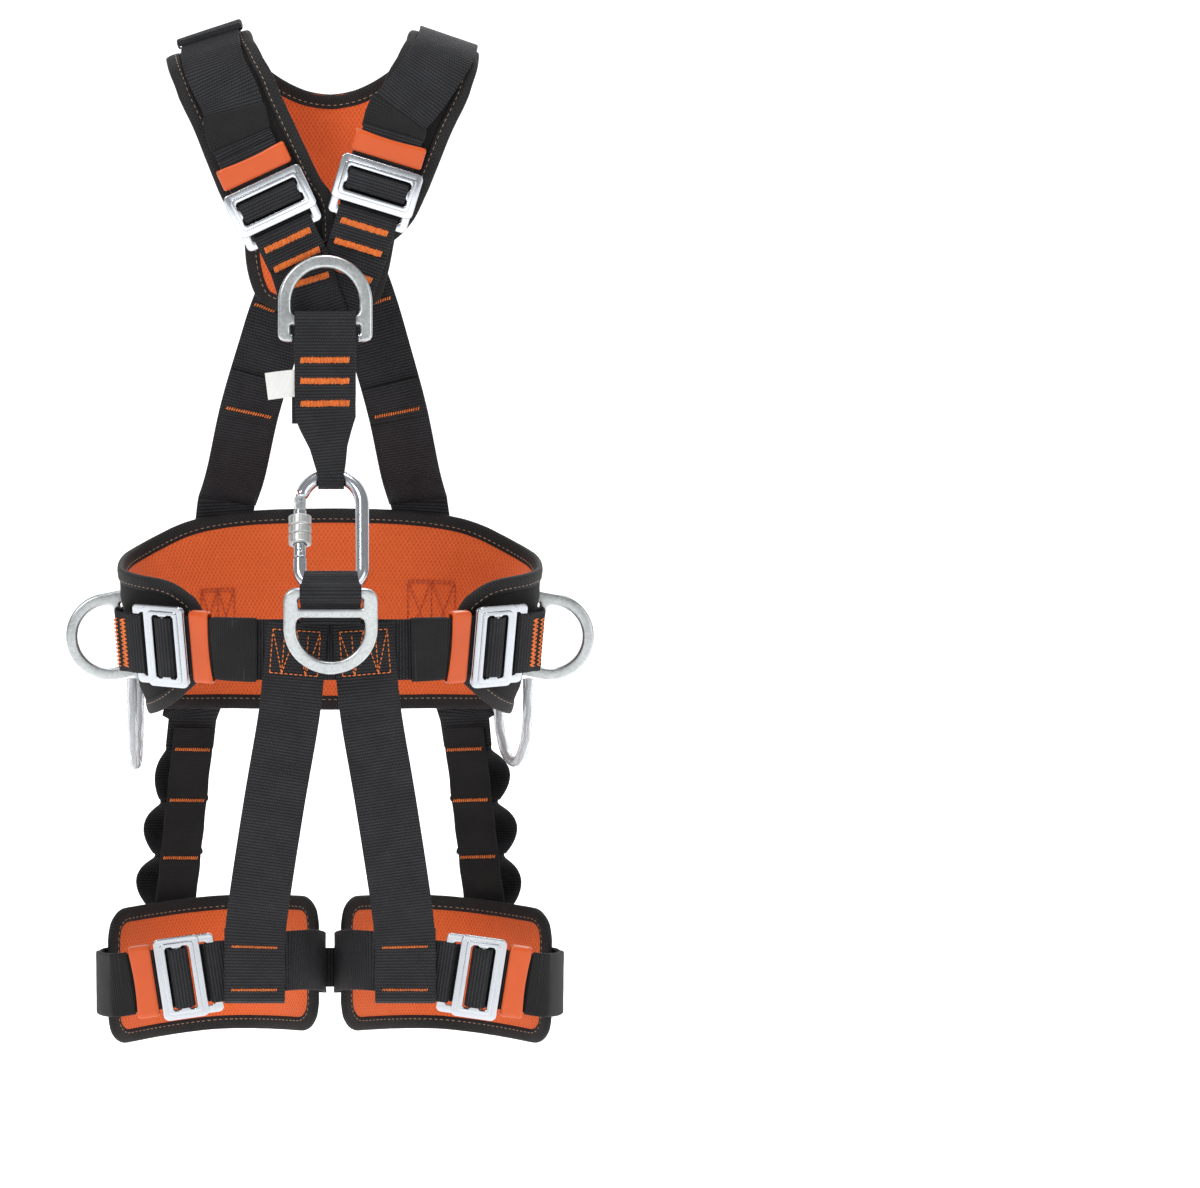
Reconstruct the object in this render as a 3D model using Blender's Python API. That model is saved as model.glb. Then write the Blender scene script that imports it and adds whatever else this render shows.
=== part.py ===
"""Full-body tree climbing saddle: padded back yoke, waist belt and leg loops joined by webbing,
with five attachment rings, six mating plate buckles and a screw-gate connector.

Units in the constants are millimetres. The wearer faces -Y, +Z is up, and the origin is the
centre of the waist ring. "right" and "left" are the wearer's: the right side is at -X.
"""
import math

import bmesh
import bpy
from mathutils import Vector
from mathutils.geometry import tessellate_polygon

for _old in list(bpy.data.objects):
    bpy.data.objects.remove(_old, do_unlink=True)

MM = 0.001

# webbing
WEB_W = 45.0          # main webbing width
WEB_T = 1.6           # main webbing thickness
GAP = 0.4             # least gap between touching pieces

# waist ring
BELT_A = 144.5        # half width of the pad's middle surface at ring height
BELT_B = 92.0         # half depth
BELT_N = 2.8          # squareness of the plan
BELT_FLARE_A = 0.21   # widening per mm of height
BELT_FLARE_B = 0.10
BELT_PAD_T = 9.0
BELT_TIP = 60.0       # degrees that the pad runs past the sides towards the front
FRONT_BAND_Y = -108.0 # front belt webbing's middle
BAND_Z = 2.0          # height of the belt webbing's middle
WAIST_BUCKLE_OFF = 14.0
BAND_OFF = 8.6        # belt webbing's middle surface, out from the pad's

# leg loops
LEG_X = 88.0
LEG_A = 78.0
LEG_B = 72.0
LEG_N = 1.7           # how the plan falls away to both ends
LEG_Z = -253.0
LEG_PAD_T = 9.0
LEG_PAD_H = 102.0
LEG_STRAP_OFF = 6.6

# yoke
YOKE_T = 7.0

# rings
RING_T = 6.0
RING_SLOT_W = 47.0

# buckles, along the strap x across it
PLATE = (34.0, 62.0, 2.4)
PLATE_SLOT = (18.0, 48.0)
FRAME_SPAN = (-16.5, 28.0)
FRAME_WINDOW = (-11.0, 22.0)
FRAME_W = 60.0
BAR_R = 2.8
BAR_L = 47.0
KEEPER = (16.0, 50.6, 1.9)   # length along the strap, inner width, wall

# connector
ROD_R = 5.0
CONN_W = 45.5                # centre-line width
CONN_TOP = Vector((0.8, -81.0, 133.0))
CONN_BOTTOM = Vector((0.8, -120.0, 57.0))
CONN_LOW_R = 12.0            # corner radius at the lower bar
GATE_PIVOT_Q = 65.0          # along the connector from its lower bar
GATE_END_Q = 21.0
SLEEVE_Q = (31.5, 53.5)

X, Y, Z = Vector((1, 0, 0)), Vector((0, 1, 0)), Vector((0, 0, 1))

BLACK = ((0.012, 0.012, 0.014), 0.85, 0.0)
PADDED = ((0.016, 0.015, 0.016), 0.9, 0.0)
ORANGE = ((0.80, 0.14, 0.02), 0.42, 0.0)
STEEL = ((0.62, 0.64, 0.65), 0.3, 1.0)
MOULDED = ((0.02, 0.022, 0.025), 0.5, 0.0)
CLEAR = ((0.82, 0.83, 0.86), 0.25, 0.0)


# ---------------------------------------------------------------- shape helpers
def finish(name, verts, faces, style, origin=(0, 0, 0), smooth=False):
    origin = Vector(origin)
    mesh = bpy.data.meshes.new(name)
    mesh.from_pydata([(Vector(v) - origin) * MM for v in verts], [], faces)
    bm = bmesh.new()
    bm.from_mesh(mesh)
    bmesh.ops.recalc_face_normals(bm, faces=bm.faces)
    bm.to_mesh(mesh)
    bm.free()
    if smooth:
        mesh.shade_smooth()
        mesh.set_sharp_from_angle(angle=math.radians(40))
    colour, rough, metal = style
    mat = bpy.data.materials.new(name)
    mat.use_nodes = True
    bsdf = mat.node_tree.nodes["Principled BSDF"]
    bsdf.inputs["Base Color"].default_value = (*colour, 1)
    bsdf.inputs["Roughness"].default_value = rough
    bsdf.inputs["Metallic"].default_value = metal
    mesh.materials.append(mat)
    obj = bpy.data.objects.new(name, mesh)
    obj.location = origin * MM
    bpy.context.scene.collection.objects.link(obj)
    return obj


def skin(name, loops, style, closed=False, **kw):
    """Body through equal loops of points, capped at both ends, or joined end to end."""
    k = len(loops[0])
    verts = [p for loop in loops for p in loop]
    faces = []
    n = len(loops)
    for i in range(n if closed else n - 1):
        a, b = i * k, ((i + 1) % n) * k
        for j in range(k):
            m = (j + 1) % k
            faces.append((a + j, a + m, b + m, b + j))
    if not closed:
        faces.append(tuple(range(k)))
        faces.append(tuple(range((n - 1) * k, n * k)))
    return finish(name, verts, faces, style, **kw)


def strip(name, loops, style, closed=False, **kw):
    """Thin body through loops made of a front row and the same row behind it reversed; both sides share their diagonals."""
    k = len(loops[0])
    m = k // 2
    verts = [p for loop in loops for p in loop]
    faces = []
    n = len(loops)
    for i in range(n if closed else n - 1):
        a, b = i * k, ((i + 1) % n) * k
        for j in range(k):
            q = (j + 1) % k
            if j < m:
                faces += [(a + j, a + q, b + q), (a + j, b + q, b + j)]
            else:
                faces += [(a + j, a + q, b + j), (a + q, b + q, b + j)]
    if not closed:
        for a in (0, (n - 1) * k):
            faces += [(a + j, a + j + 1, a + k - 2 - j, a + k - 1 - j) for j in range(m - 1)]
    return finish(name, verts, faces, style, **kw)


def ribbon(name, pts, wdir, style=BLACK, width=WEB_W, thick=WEB_T, closed=False, **kw):
    """Flat strap along pts; wdir is the direction across it, one for all or one per point."""
    n = len(pts)
    loops = []
    for i, p in enumerate(pts):
        ahead = pts[(i + 1) % n] if closed else pts[min(i + 1, n - 1)]
        behind = pts[i - 1] if closed else pts[max(i - 1, 0)]
        t = (ahead - behind).normalized()
        w = wdir[i] if isinstance(wdir, list) else wdir
        w = (w - t * w.dot(t)).normalized()
        h = t.cross(w) * (thick / 2)
        half = w * ((width[i] if isinstance(width, list) else width) / 2)
        loops.append([p - half - h, p + half - h, p + half + h, p - half + h])
    return strip(name, loops, style, closed=closed, **kw)


def band(name, rows, style=BLACK, thick=WEB_T, **kw):
    """Strap given as rows of (points across it, outward directions), so that it can lie on a curved surface."""
    loops = []
    for pts, normals in rows:
        h = thick / 2
        loops.append([p + n * h for p, n in zip(pts, normals)] + [p - n * h for p, n in zip(reversed(pts), reversed(normals))])
    return strip(name, loops, style, **kw)


def extruded(name, outer, holes, place, c0, c1, style, **kw):
    """Flat outline with holes, thickened between c0 and c1; place maps (a, b, c) to the world."""
    loops = [outer] + list(holes)
    tris = tessellate_polygon([[Vector((a, b, 0)) for a, b in loop] for loop in loops])
    flat = [p for loop in loops for p in loop]
    n = len(flat)
    verts = [place(a, b, c0) for a, b in flat] + [place(a, b, c1) for a, b in flat]
    faces = [tuple(t) for t in tris] + [tuple(i + n for i in t) for t in tris]
    start = 0
    for loop in loops:
        k = len(loop)
        for j in range(k):
            p, q = start + j, start + (j + 1) % k
            faces.append((p, q, q + n, p + n))
        start += k
    return finish(name, verts, faces, style, **kw)


def rrect(a0, a1, b0, b1, r, k=2):
    """Rectangle with rounded corners, as points."""
    out = []
    for ca, cb, start in ((a1 - r, b1 - r, 0), (a0 + r, b1 - r, 90), (a0 + r, b0 + r, 180), (a1 - r, b0 + r, 270)):
        for i in range(k + 1):
            ang = math.radians(start + 90 * i / k)
            out.append((ca + r * math.cos(ang), cb + r * math.sin(ang)))
    return out


def spline(ctrl, per=4):
    """Smooth curve through the control points."""
    out = []
    n = len(ctrl)
    for i in range(n - 1):
        p0, p1, p2, p3 = ctrl[max(i - 1, 0)], ctrl[i], ctrl[i + 1], ctrl[min(i + 2, n - 1)]
        for s in range(per):
            t = s / per
            out.append(0.5 * ((2 * p1) + (p2 - p0) * t + (2 * p0 - 5 * p1 + 4 * p2 - p3) * t * t
                              + (3 * p1 - p0 - 3 * p2 + p3) * t ** 3))
    out.append(ctrl[-1].copy())
    return out


def table(x, rows):
    """Straight-line look-up."""
    if x <= rows[0][0]:
        return rows[0][1]
    for (x0, y0), (x1, y1) in zip(rows, rows[1:]):
        if x <= x1:
            return y0 + (y1 - y0) * (x - x0) / (x1 - x0)
    return rows[-1][1]


def spow(v, e):
    return math.copysign(abs(v) ** e, v)


def hidden(obj):
    obj.hide_render = True
    obj.display_type = "WIRE"
    return obj


def cut(obj, cutter):
    mod = obj.modifiers.new("cut", "BOOLEAN")
    mod.operation = "DIFFERENCE"
    mod.solver = "EXACT"
    mod.object = cutter
    return obj


# ---------------------------------------------------------------- waist surface
def belt_ab(z):
    return BELT_A + BELT_FLARE_A * (z + 2), BELT_B + BELT_FLARE_B * z


def belt_pt(deg, z, off):
    a, b = belt_ab(z)
    c, s = math.cos(math.radians(deg)), math.sin(math.radians(deg))
    e = 2 / BELT_N
    n = Vector((spow(c, 2 - e) / a, spow(s, 2 - e) / b, 0)).normalized()
    return Vector((a * spow(c, e), b * spow(s, e), z)) + n * off


def belt_normal(deg, z):
    return (belt_pt(deg, z, 1.0) - belt_pt(deg, z, 0.0)).normalized()


def belt_deg_at_x(x, z):
    a, _ = belt_ab(z)
    return math.degrees(math.acos(spow(x / a, BELT_N / 2)))


def belt_up(deg, z=BAND_Z):
    return (belt_pt(deg, z + 15, 0) - belt_pt(deg, z - 15, 0)).normalized()


def band_z(y):
    """Height of the belt webbing's middle: lowest beside the side rings."""
    return table(y, [(-70, 8.0), (0, 0.5), (48, -1.0), (75, 1.0), (97, 4.0)])


# edges of the belt pad by degrees from its side towards the front
PAD_TOP = [(-90, 86.5), (-75, 85), (-58, 80), (-37, 67), (-25, 62), (0, 56.5), (20, 56.5), (45, 55), (51, 52), (56, 46), (58.5, 39), (60, 31)]
PAD_BOTTOM = [(-90, -65), (-41, -61), (0, -54), (25, -46), (39.5, -36.6), (51.5, -22), (56, -16), (60, -8)]


def waist_belt_pad():
    loops = []
    steps = 40
    for i in range(steps + 1):
        deg = 180 + BELT_TIP - (180 + 2 * BELT_TIP) * i / steps
        ahead = abs(deg - 90) - 90
        lo, hi = table(ahead, PAD_BOTTOM), table(ahead, PAD_TOP)
        t = BELT_PAD_T / 2
        rows = [(lo, 0.55), (lo + 6, 1.0), (0.5 * (lo + hi), 1.0), (hi - 6, 1.0), (hi, 0.55)]
        loops.append([belt_pt(deg, z, t * f) for z, f in rows]
                     + [belt_pt(deg, z, -t * f) for z, f in reversed(rows)])
    strip("waist_belt_pad", loops, PADDED)


# ---------------------------------------------------------------- rings
def ring_outline(b0, slot, cross, r_in, r_out, leg, closed_slot=True, tip=0.0, k=8):
    """Outline of a D ring: end bar, slot, cross bar and bow, with v measured from the bar end."""
    v2 = b0 + slot + cross
    vc = v2 + leg
    hw = RING_SLOT_W / 2
    arc = [(r_out * math.cos(math.pi * i / (2 * k)), vc + r_out * math.sin(math.pi * i / (2 * k))) for i in range(2 * k + 1)]
    if closed_slot:
        right = [(r_out - 1.2 * b0, 0.0), (r_out - 0.6 * b0, 0.16 * b0), (r_out - 0.16 * b0, 0.6 * b0), (r_out, 1.2 * b0)]
    else:
        # the end bar is cut away where the webbing passes, which leaves a hook on each side
        t = b0 + slot
        hook = 0.46 * t
        right = [(tip - 1.0, t), (r_in - 0.6, t), (r_in + 0.4, t - 1.0), (r_in + 0.4, hook + 1.0), (r_in - 0.6, hook), (tip, hook), (tip, 1.0), (tip + 1.0, 0.0),
                 (r_out - 8.0, 0.0), (r_out - 3.8, 1.1), (r_out - 1.0, 4.0), (r_out, 8.0)]
    outer = right + arc + [(-a, b) for a, b in reversed(right)]
    bow = [(r_in * math.cos(math.pi * i / (2 * k)), vc + r_in * math.sin(math.pi * i / (2 * k))) for i in range(2 * k + 1)]
    d_hole = bow + [(-r_in + 0.8, v2 + 2.2), (-r_in + 3.0, v2), (r_in - 3.0, v2), (r_in - 0.8, v2 + 2.2)]
    holes = [d_hole]
    if closed_slot:
        holes.append(rrect(-hw, hw, b0, b0 + slot, 1.2, 1))
    return outer, holes, vc + r_out


def ring(name, axis_point, v_axis, vdir, wdir, dims, closed_slot=True, tip=0.0):
    """Ring whose hinge axis runs through axis_point along wdir, v_axis up from its bar end."""
    vdir = vdir.normalized()
    wdir = (wdir - vdir * wdir.dot(vdir)).normalized()
    ndir = wdir.cross(vdir)
    outer, holes, _ = ring_outline(*dims, closed_slot=closed_slot, tip=tip)

    def place(a, b, c):
        return axis_point + wdir * a + vdir * (b - v_axis) + ndir * c

    extruded(name, outer, holes, place, -RING_T / 2, RING_T / 2, STEEL, origin=axis_point)


# end bar, slot, cross bar, inside and outside half widths, straight leg
FRONT_RING = (8.0, 7.0, 7.0, 25.0, 34.5, 7.0)
CHEST_RING = (0.0, 12.0, 7.0, 25.0, 34.5, 10.0)
SIDE_RING = (4.0, 5.0, 6.0, 24.0, 33.0, 7.0)
DORSAL_RING = (0.0, 8.7, 7.0, 22.0, 32.5, 7.0)

STERNAL_AXIS = Vector((-3.5, -74.0, 246.5))
VENTRAL_AXIS = Vector((0.4, -133.0, 53.0))
DORSAL_AXIS = Vector((0.0, 69.5, 327.0))
SIDE_RING_Y = 48.0
SIDE_RING_OFF = 13.6


def side_ring_deg(side):
    _, b = belt_ab(0)
    deg = math.degrees(math.asin((SIDE_RING_Y / b) ** (BELT_N / 2)))
    return deg if side > 0 else 180 - deg


def side_name(side):
    return "right" if side < 0 else "left"


def rings():
    ring("sternal_ring", STERNAL_AXIS, 15.5, Vector((0, 0.12, 1)), X, CHEST_RING, closed_slot=False, tip=23.4)
    ring("ventral_ring", VENTRAL_AXIS, 4.0, Vector((0, 0.0, -1)), X, FRONT_RING)
    ring("dorsal_ring", DORSAL_AXIS, 12.2, Vector((0, -0.12, 1)), X, DORSAL_RING, closed_slot=False, tip=19.4)
    for side in (-1, 1):
        deg = side_ring_deg(side)
        z = band_z(SIDE_RING_Y)
        axis = belt_pt(deg, z, SIDE_RING_OFF)
        up = belt_up(deg)
        out = Vector((side, 0, 0)) - up * up.x * side
        ring(side_name(side) + "_side_ring", axis, 2.0, out, up, SIDE_RING)
        # webbing patch over the ring's end bar, sewn to the belt webbing at both ends
        turn = 1 if side > 0 else -1
        flat = BAND_OFF + WEB_T + GAP
        pts = []
        n0 = belt_normal(deg, z)
        n0 = (n0 - up * n0.dot(up)).normalized()
        t0 = up.cross(n0).normalized() * turn
        rad = 4.9
        for s in (-27.0, -20.5, -14.5):
            pts.append(belt_pt(deg + s * 0.62 * turn, z, flat + 0.2))
        pts += [axis + n0 * (flat + 0.6 - SIDE_RING_OFF) + t0 * -9.6, axis + n0 * (flat + 1.6 - SIDE_RING_OFF) + t0 * -6.6]
        for i in range(9):
            ang = math.radians(176 - 172 * i / 8)
            pts.append(axis + t0 * (rad * math.cos(ang)) + n0 * (rad * math.sin(ang)))
        pts += [axis + n0 * (flat + 1.6 - SIDE_RING_OFF) + t0 * 6.6, axis + n0 * (flat + 0.6 - SIDE_RING_OFF) + t0 * 9.6]
        for s in (14.5, 20.5, 27.0):
            pts.append(belt_pt(deg + s * 0.62 * turn, z, flat + 0.2))
        ribbon(side_name(side) + "_ring_loop", pts, up, width=44.0)


# ---------------------------------------------------------------- buckles
class Buckle:
    """Mating plate buckle: u runs along the strap from the adjusting plate to the sewn frame."""

    def __init__(self, prefix, centre, u, n):
        self.c = Vector(centre)
        self.u = Vector(u).normalized()
        n = Vector(n)
        self.n = (n - self.u * n.dot(self.u)).normalized()
        self.w = self.n.cross(self.u)
        if self.w.z < -0.5 or (abs(self.w.z) <= 0.5 and self.w.x < 0):
            self.w = -self.w
        self.prefix = prefix

    def at(self, u, n, w=0.0):
        return self.c + self.u * u + self.n * n + self.w * w

    def build(self):
        p = self.prefix
        l, w, t = PLATE
        sl, sw = PLATE_SLOT
        extruded(p + "_buckle_plate", rrect(-l / 2, l / 2, -w / 2, w / 2, 4), [rrect(-sl / 2, sl / 2, -sw / 2, sw / 2, 2, 1)],
                 lambda a, b, c: self.at(a, c, b), 1.6, 1.6 + t, STEEL)
        extruded(p + "_buckle_frame", rrect(*FRAME_SPAN, -FRAME_W / 2, FRAME_W / 2, 4),
                 [rrect(*FRAME_WINDOW, -24, 24, 2, 1)], lambda a, b, c: self.at(a, c, b), -1.4, 1.0, STEEL)
        loops = []
        for b in (-BAR_L / 2, BAR_L / 2):
            loops.append([self.at(BAR_R * math.cos(math.tau * i / 10), 2.8 + BAR_R * math.sin(math.tau * i / 10), b) for i in range(10)])
        skin(p + "_slider_bar", loops, STEEL, origin=self.at(0, 2.8))
        kl, kw, kt = KEEPER
        hole = rrect(-kw / 2, kw / 2, -6.1, -1.1, 0.6, 1)
        shell = rrect(-kw / 2 - kt, kw / 2 + kt, -6.1 - kt, -1.1 + kt, 2.0, 2)
        extruded(p + "_keeper", shell, [hole], lambda a, b, c: self.at(c, b, a), -20 - kl, -20.0, ORANGE, origin=self.at(-28, -3.6))

    def bar_fold(self, tail=58.0, rear=42.0):
        """Strap from its free tail end, over the slider bar, to its load-bearing layer."""
        rows = [(-tail, -2.6), (-40, -2.6), (-30, -2.6), (-18, -2.6), (-12, -2.6), (-8.4, -1.9), (-6.7, 0.2), (-6.5, 3.0), (-4.9, 5.9), (-2, 6.8),
                (2, 6.8), (4.9, 5.9), (6.5, 3.0), (6.6, -1.5), (5.0, -3.9), (1, -4.6), (-12, -4.6), (-30, -4.6), (-rear, -4.6)]
        if tail <= 40:
            rows = rows[2:]
        return [self.at(u, n) for u, n in rows]

    def frame_fold(self, end=47.0):
        """Strap end sewn round the frame's end bar: from the short return layer to the main layer."""
        rows = [(end, 0.8), (40, 0.8), (36, 0.9), (30.5, 2.3), (23.6, 2.3), (21.3, 2.1), (20.5, 0.8), (20.5, -1.2), (21.3, -2.5), (23.6, -2.7),
                (30.5, -2.7), (36, -1.5), (40, -1.4)]
        return [self.at(u, n) for u, n in rows]


BUCKLES = {}
for _s, _c, _u in ((-1, (-44.0, -57.5, 332.8), (0.423, 0, -0.906)), (1, (34.5, -57.5, 344.0), (-0.292, 0, -0.956))):
    BUCKLES["chest", _s] = Buckle(side_name(_s) + "_chest", _c, _u, -Y)
for _s in (-1, 1):
    _deg = -46.5 if _s > 0 else 226.5
    _up = belt_up(_deg, 8.0)
    _out = belt_normal(_deg, 8.0)
    _along = Vector((-_out.y, _out.x, 0)) * _s
    BUCKLES["waist", _s] = Buckle(side_name(_s) + "_waist", belt_pt(_deg, 8.0, WAIST_BUCKLE_OFF), _along, (_along.cross(_up) * _s))
    BUCKLES["leg", _s] = Buckle(side_name(_s) + "_leg", (_s * 110.5, -79.5, -241.5), (-_s * 0.989, 0.0, 0.148), (0.0, -1.0, 0.0))


# ---------------------------------------------------------------- connector
def connector():
    q_axis = (CONN_TOP - CONN_BOTTOM)
    length = q_axis.length
    q_axis.normalize()
    p_axis = X
    m_axis = p_axis.cross(q_axis)
    half = CONN_W / 2

    def at(p, q, m=0.0):
        return CONN_BOTTOM + p_axis * p + q_axis * q + m_axis * m

    def section(p, q, dp, dq, rp, rm, k=12):
        """Round or flattened section across the direction (dp, dq)."""
        d = math.hypot(dp, dq)
        np_, nq = -dq / d, dp / d
        return [at(p + np_ * rp * math.cos(math.tau * i / k), q + nq * rp * math.cos(math.tau * i / k), rm * math.sin(math.tau * i / k)) for i in range(k)]

    rows = []     # centre line from the gate's hinge end over the top, down the spine and round to the nose
    top_c = length - half
    shoulder = GATE_PIVOT_Q + 5.2
    rows += [(-half, GATE_PIVOT_Q - 4.5, 0, 1, 3.2, 1.5), (-half, shoulder - 0.2, 0, 1, 3.2, 1.5), (-half, shoulder, 0, 1, ROD_R, ROD_R)]
    for i in range(1, 12):
        ang = math.radians(180 - 180 * i / 12)
        if top_c + half * math.sin(ang) > shoulder + 1.5 or i > 6:
            rows.append((half * math.cos(ang), top_c + half * math.sin(ang), math.sin(ang), -math.cos(ang), ROD_R, ROD_R))
    rows.append((half, top_c, 0, -1, ROD_R, ROD_R))
    low_r = CONN_LOW_R
    rows.append((half, low_r, 0, -1, ROD_R, ROD_R))
    for i in range(1, 4):
        ang = math.radians(-90 * i / 4)
        rows.append((half - low_r + low_r * math.cos(ang), low_r + low_r * math.sin(ang), math.sin(ang), -math.cos(ang), ROD_R, ROD_R))
    rows.append((half - low_r, 0.0, -1, 0, ROD_R, ROD_R))
    rows.append((-half + low_r, 0.0, -1, 0, ROD_R, ROD_R))
    for i in range(1, 4):
        ang = math.radians(-90 - 90 * i / 4)
        rows.append((-half + low_r + low_r * math.cos(ang), low_r + low_r * math.sin(ang), math.sin(ang), -math.cos(ang), ROD_R, ROD_R))
    rows.append((-half, low_r + 0.2, 0, 1, ROD_R, ROD_R))
    rows.append((-half, GATE_END_Q - 0.6, 0, 1, ROD_R, ROD_R))
    body = skin("carabiner_body", [section(*r) for r in rows], STEEL, smooth=True)

    pivot = at(-half, GATE_PIVOT_Q)
    hole = hidden(skin("pivot_bore", [[at(-half + 1.5 * math.cos(math.tau * i / 12), GATE_PIVOT_Q + 1.5 * math.sin(math.tau * i / 12), m) for i in range(12)]
                                      for m in (-8.0, 8.0)], STEEL))
    cut(body, hole)
    loops = [section(-half, GATE_END_Q, 0, 1, 4.6, 4.6)]
    loops.append(section(-half, GATE_PIVOT_Q, 0, 1, 4.6, 4.6))
    for i in range(1, 4):
        ang = math.radians(90 * i / 4)
        loops.append(section(-half, GATE_PIVOT_Q + 4.6 * math.sin(ang), 0, 1, 4.6 * math.cos(ang), 4.6 * math.cos(ang)))
    gate = skin("carabiner_gate", loops, STEEL, origin=pivot, smooth=True)
    slot = hidden(extruded("gate_slot", [(-9, GATE_PIVOT_Q - 6), (9, GATE_PIVOT_Q - 6), (9, GATE_PIVOT_Q + 11), (-9, GATE_PIVOT_Q + 11)], [], lambda a, b, c: at(-half + a, b, c), -1.9, 1.9, STEEL))
    cut(gate, slot)
    cut(gate, hole)
    skin("gate_pivot_pin", [[at(-half + 1.15 * math.cos(math.tau * i / 10), GATE_PIVOT_Q + 1.15 * math.sin(math.tau * i / 10), m) for i in range(10)]
                            for m in (-4.5, 4.5)], STEEL, origin=pivot, smooth=True)
    q0, q1 = SLEEVE_Q
    skin("locking_sleeve", [section(-half, q0, 0, 1, 8.5, 8.5), section(-half, q1, 0, 1, 8.5, 8.5),
                            section(-half, q1, 0, 1, 5.2, 5.2), section(-half, q0, 0, 1, 5.2, 5.2)], STEEL, closed=True, origin=at(-half, 40.0), smooth=True)
    return at, length


# ---------------------------------------------------------------- chest and back
def smooth(f):
    f = min(1.0, max(0.0, f))
    return f * f * (3 - 2 * f)


SHOULDER_SLOPE = 0.34


def shoulder(x, y, z):
    """Shoulders slope down to their outer edges."""
    z -= 10.0 * min(1.0, max(0.0, (z - 425) / 34))
    return Vector((x, y, z - SHOULDER_SLOPE * max(0.0, abs(x) - 58) * smooth((z - 380) / 70)))


def yoke_rows():
    """Half of the yoke from its back lower end, over the shoulder, to the front wing's end: y, z, inner x, outer x on the right and on the left."""
    return [(40, 240, 0, 30, 14), (40, 252, 0, 52, 35), (40, 275, 0, 61, 43), (40, 310, 0, 64, 50), (39, 345, 0, 69, 61), (38, 378, 0, 80, 77), (37, 405, 0, 92, 92),
            (35, 425, 48, 104, 102), (31, 443, 56, 114, 107), (20, 457, 60, 119, 109), (0, 464, 60, 120, 109), (-20, 457, 57, 118, 108), (-33, 440, 50, 114, 105),
            (-40, 410, 37.5, 108, 99), (-43, 375, 21, 95, 85), (-45, 340, 4, 81, 71), (-46, 318, 2.5, 70, 60)]


def back_yoke_pad():
    cols = 5
    rows = yoke_rows()
    verts, index, faces = [], {}, []
    for side in (-1, 1):
        for r, (y, z, xi, *xo) in enumerate(rows):
            for c in range(cols + 1):
                x = side * (xi + (xo[side > 0] - xi) * c / cols)
                key = (r, 0, 0) if c == 0 and xi == 0 else (r, side, c)
                if key not in index:
                    index[key] = len(verts)
                    verts.append(shoulder(x, y, z))
    for side in (-1, 1):
        def vid(r, c):
            return index[(r, 0, 0)] if c == 0 and rows[r][2] == 0 else index[(r, side, c)]
        for r in range(len(rows) - 1):
            for c in range(cols):
                f = (vid(r, c), vid(r, c + 1), vid(r + 1, c + 1), vid(r + 1, c))
                faces.append(f if side > 0 else f[::-1])
    bm = bmesh.new()
    bv = [bm.verts.new(v) for v in verts]
    for f in faces:
        bm.faces.new([bv[i] for i in f])
    bmesh.ops.recalc_face_normals(bm, faces=bm.faces)
    bm.normal_update()
    normals = [v.normal.copy() for v in bv]
    bm.verts.index_update()
    edges = [(e.verts[0].index, e.verts[1].index) for e in bm.edges if e.is_boundary]
    bm.free()
    n = len(verts)
    t = YOKE_T / 2
    solid = [v + m * t for v, m in zip(verts, normals)] + [v - m * t for v, m in zip(verts, normals)]
    all_faces = list(faces) + [tuple(i + n for i in reversed(f)) for f in faces]
    all_faces += [(a, b, b + n, a + n) for a, b in edges]
    finish("back_yoke_pad", solid, all_faces, PADDED)


def shoulder_straps():
    for side in (-1, 1):
        b = BUCKLES["chest", side]
        layer = 45.2 if side < 0 else 47.6
        ctrl = [b.at(-42, -4.6), b.at(-54, -4.9)]
        front = ((73, -48.8, 408), (84, -41.0, 441), (88, -24.8, 463.5)) if side < 0 else ((65, -49.2, 411), (78.5, -41.4, 441), (85.5, -24.8, 463.5))
        for x, y, z in front + ((88, 0, 471.2), (87, 24.8, 463.5), (82.5, 38.2, 446), (75, 42.8, 427), (64, 44.8, 405), (46, layer, 372),
                                (32, layer, 347), (22, layer, 331)):
            ctrl.append(shoulder(side * x, y, z))
        fold = b.bar_fold(tail=41)[:-1]
        path = spline(ctrl, 2)
        wdirs = [b.w] * len(fold)
        for i, p in enumerate(path):
            level = X - Z * (side * SHOULDER_SLOPE * smooth((p.z + 10 - 380) / 70))
            wdirs.append(b.w.lerp(level.normalized(), min(1.0, max(0.0, (i - 1) / 4))))
        ribbon(side_name(side) + "_shoulder_strap", fold + path, wdirs)


def chest_straps():
    for side in (-1, 1):
        b = BUCKLES["chest", side]
        fold = b.frame_fold()
        layer = -56.2 if side < 0 else -52.6
        x0 = STERNAL_AXIS.x
        ctrl = [fold[-1], Vector((b.at(52, 0).x, layer * 0.7 + 0.3 * fold[-1].y, b.at(52, 0).z)), Vector((x0 + side * 13.0, layer, 268.0)),
                Vector((x0 + side * 6.0, layer, 248.0)), Vector((x0 + side * 1.0, layer, 230.0))]
        path = spline(ctrl, 3)
        ribbon(side_name(side) + "_chest_strap", fold[:-1] + path, [b.w] * (len(fold) - 1) + [b.w.lerp(X, min(1.0, i / 8)) for i in range(len(path))])


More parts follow.
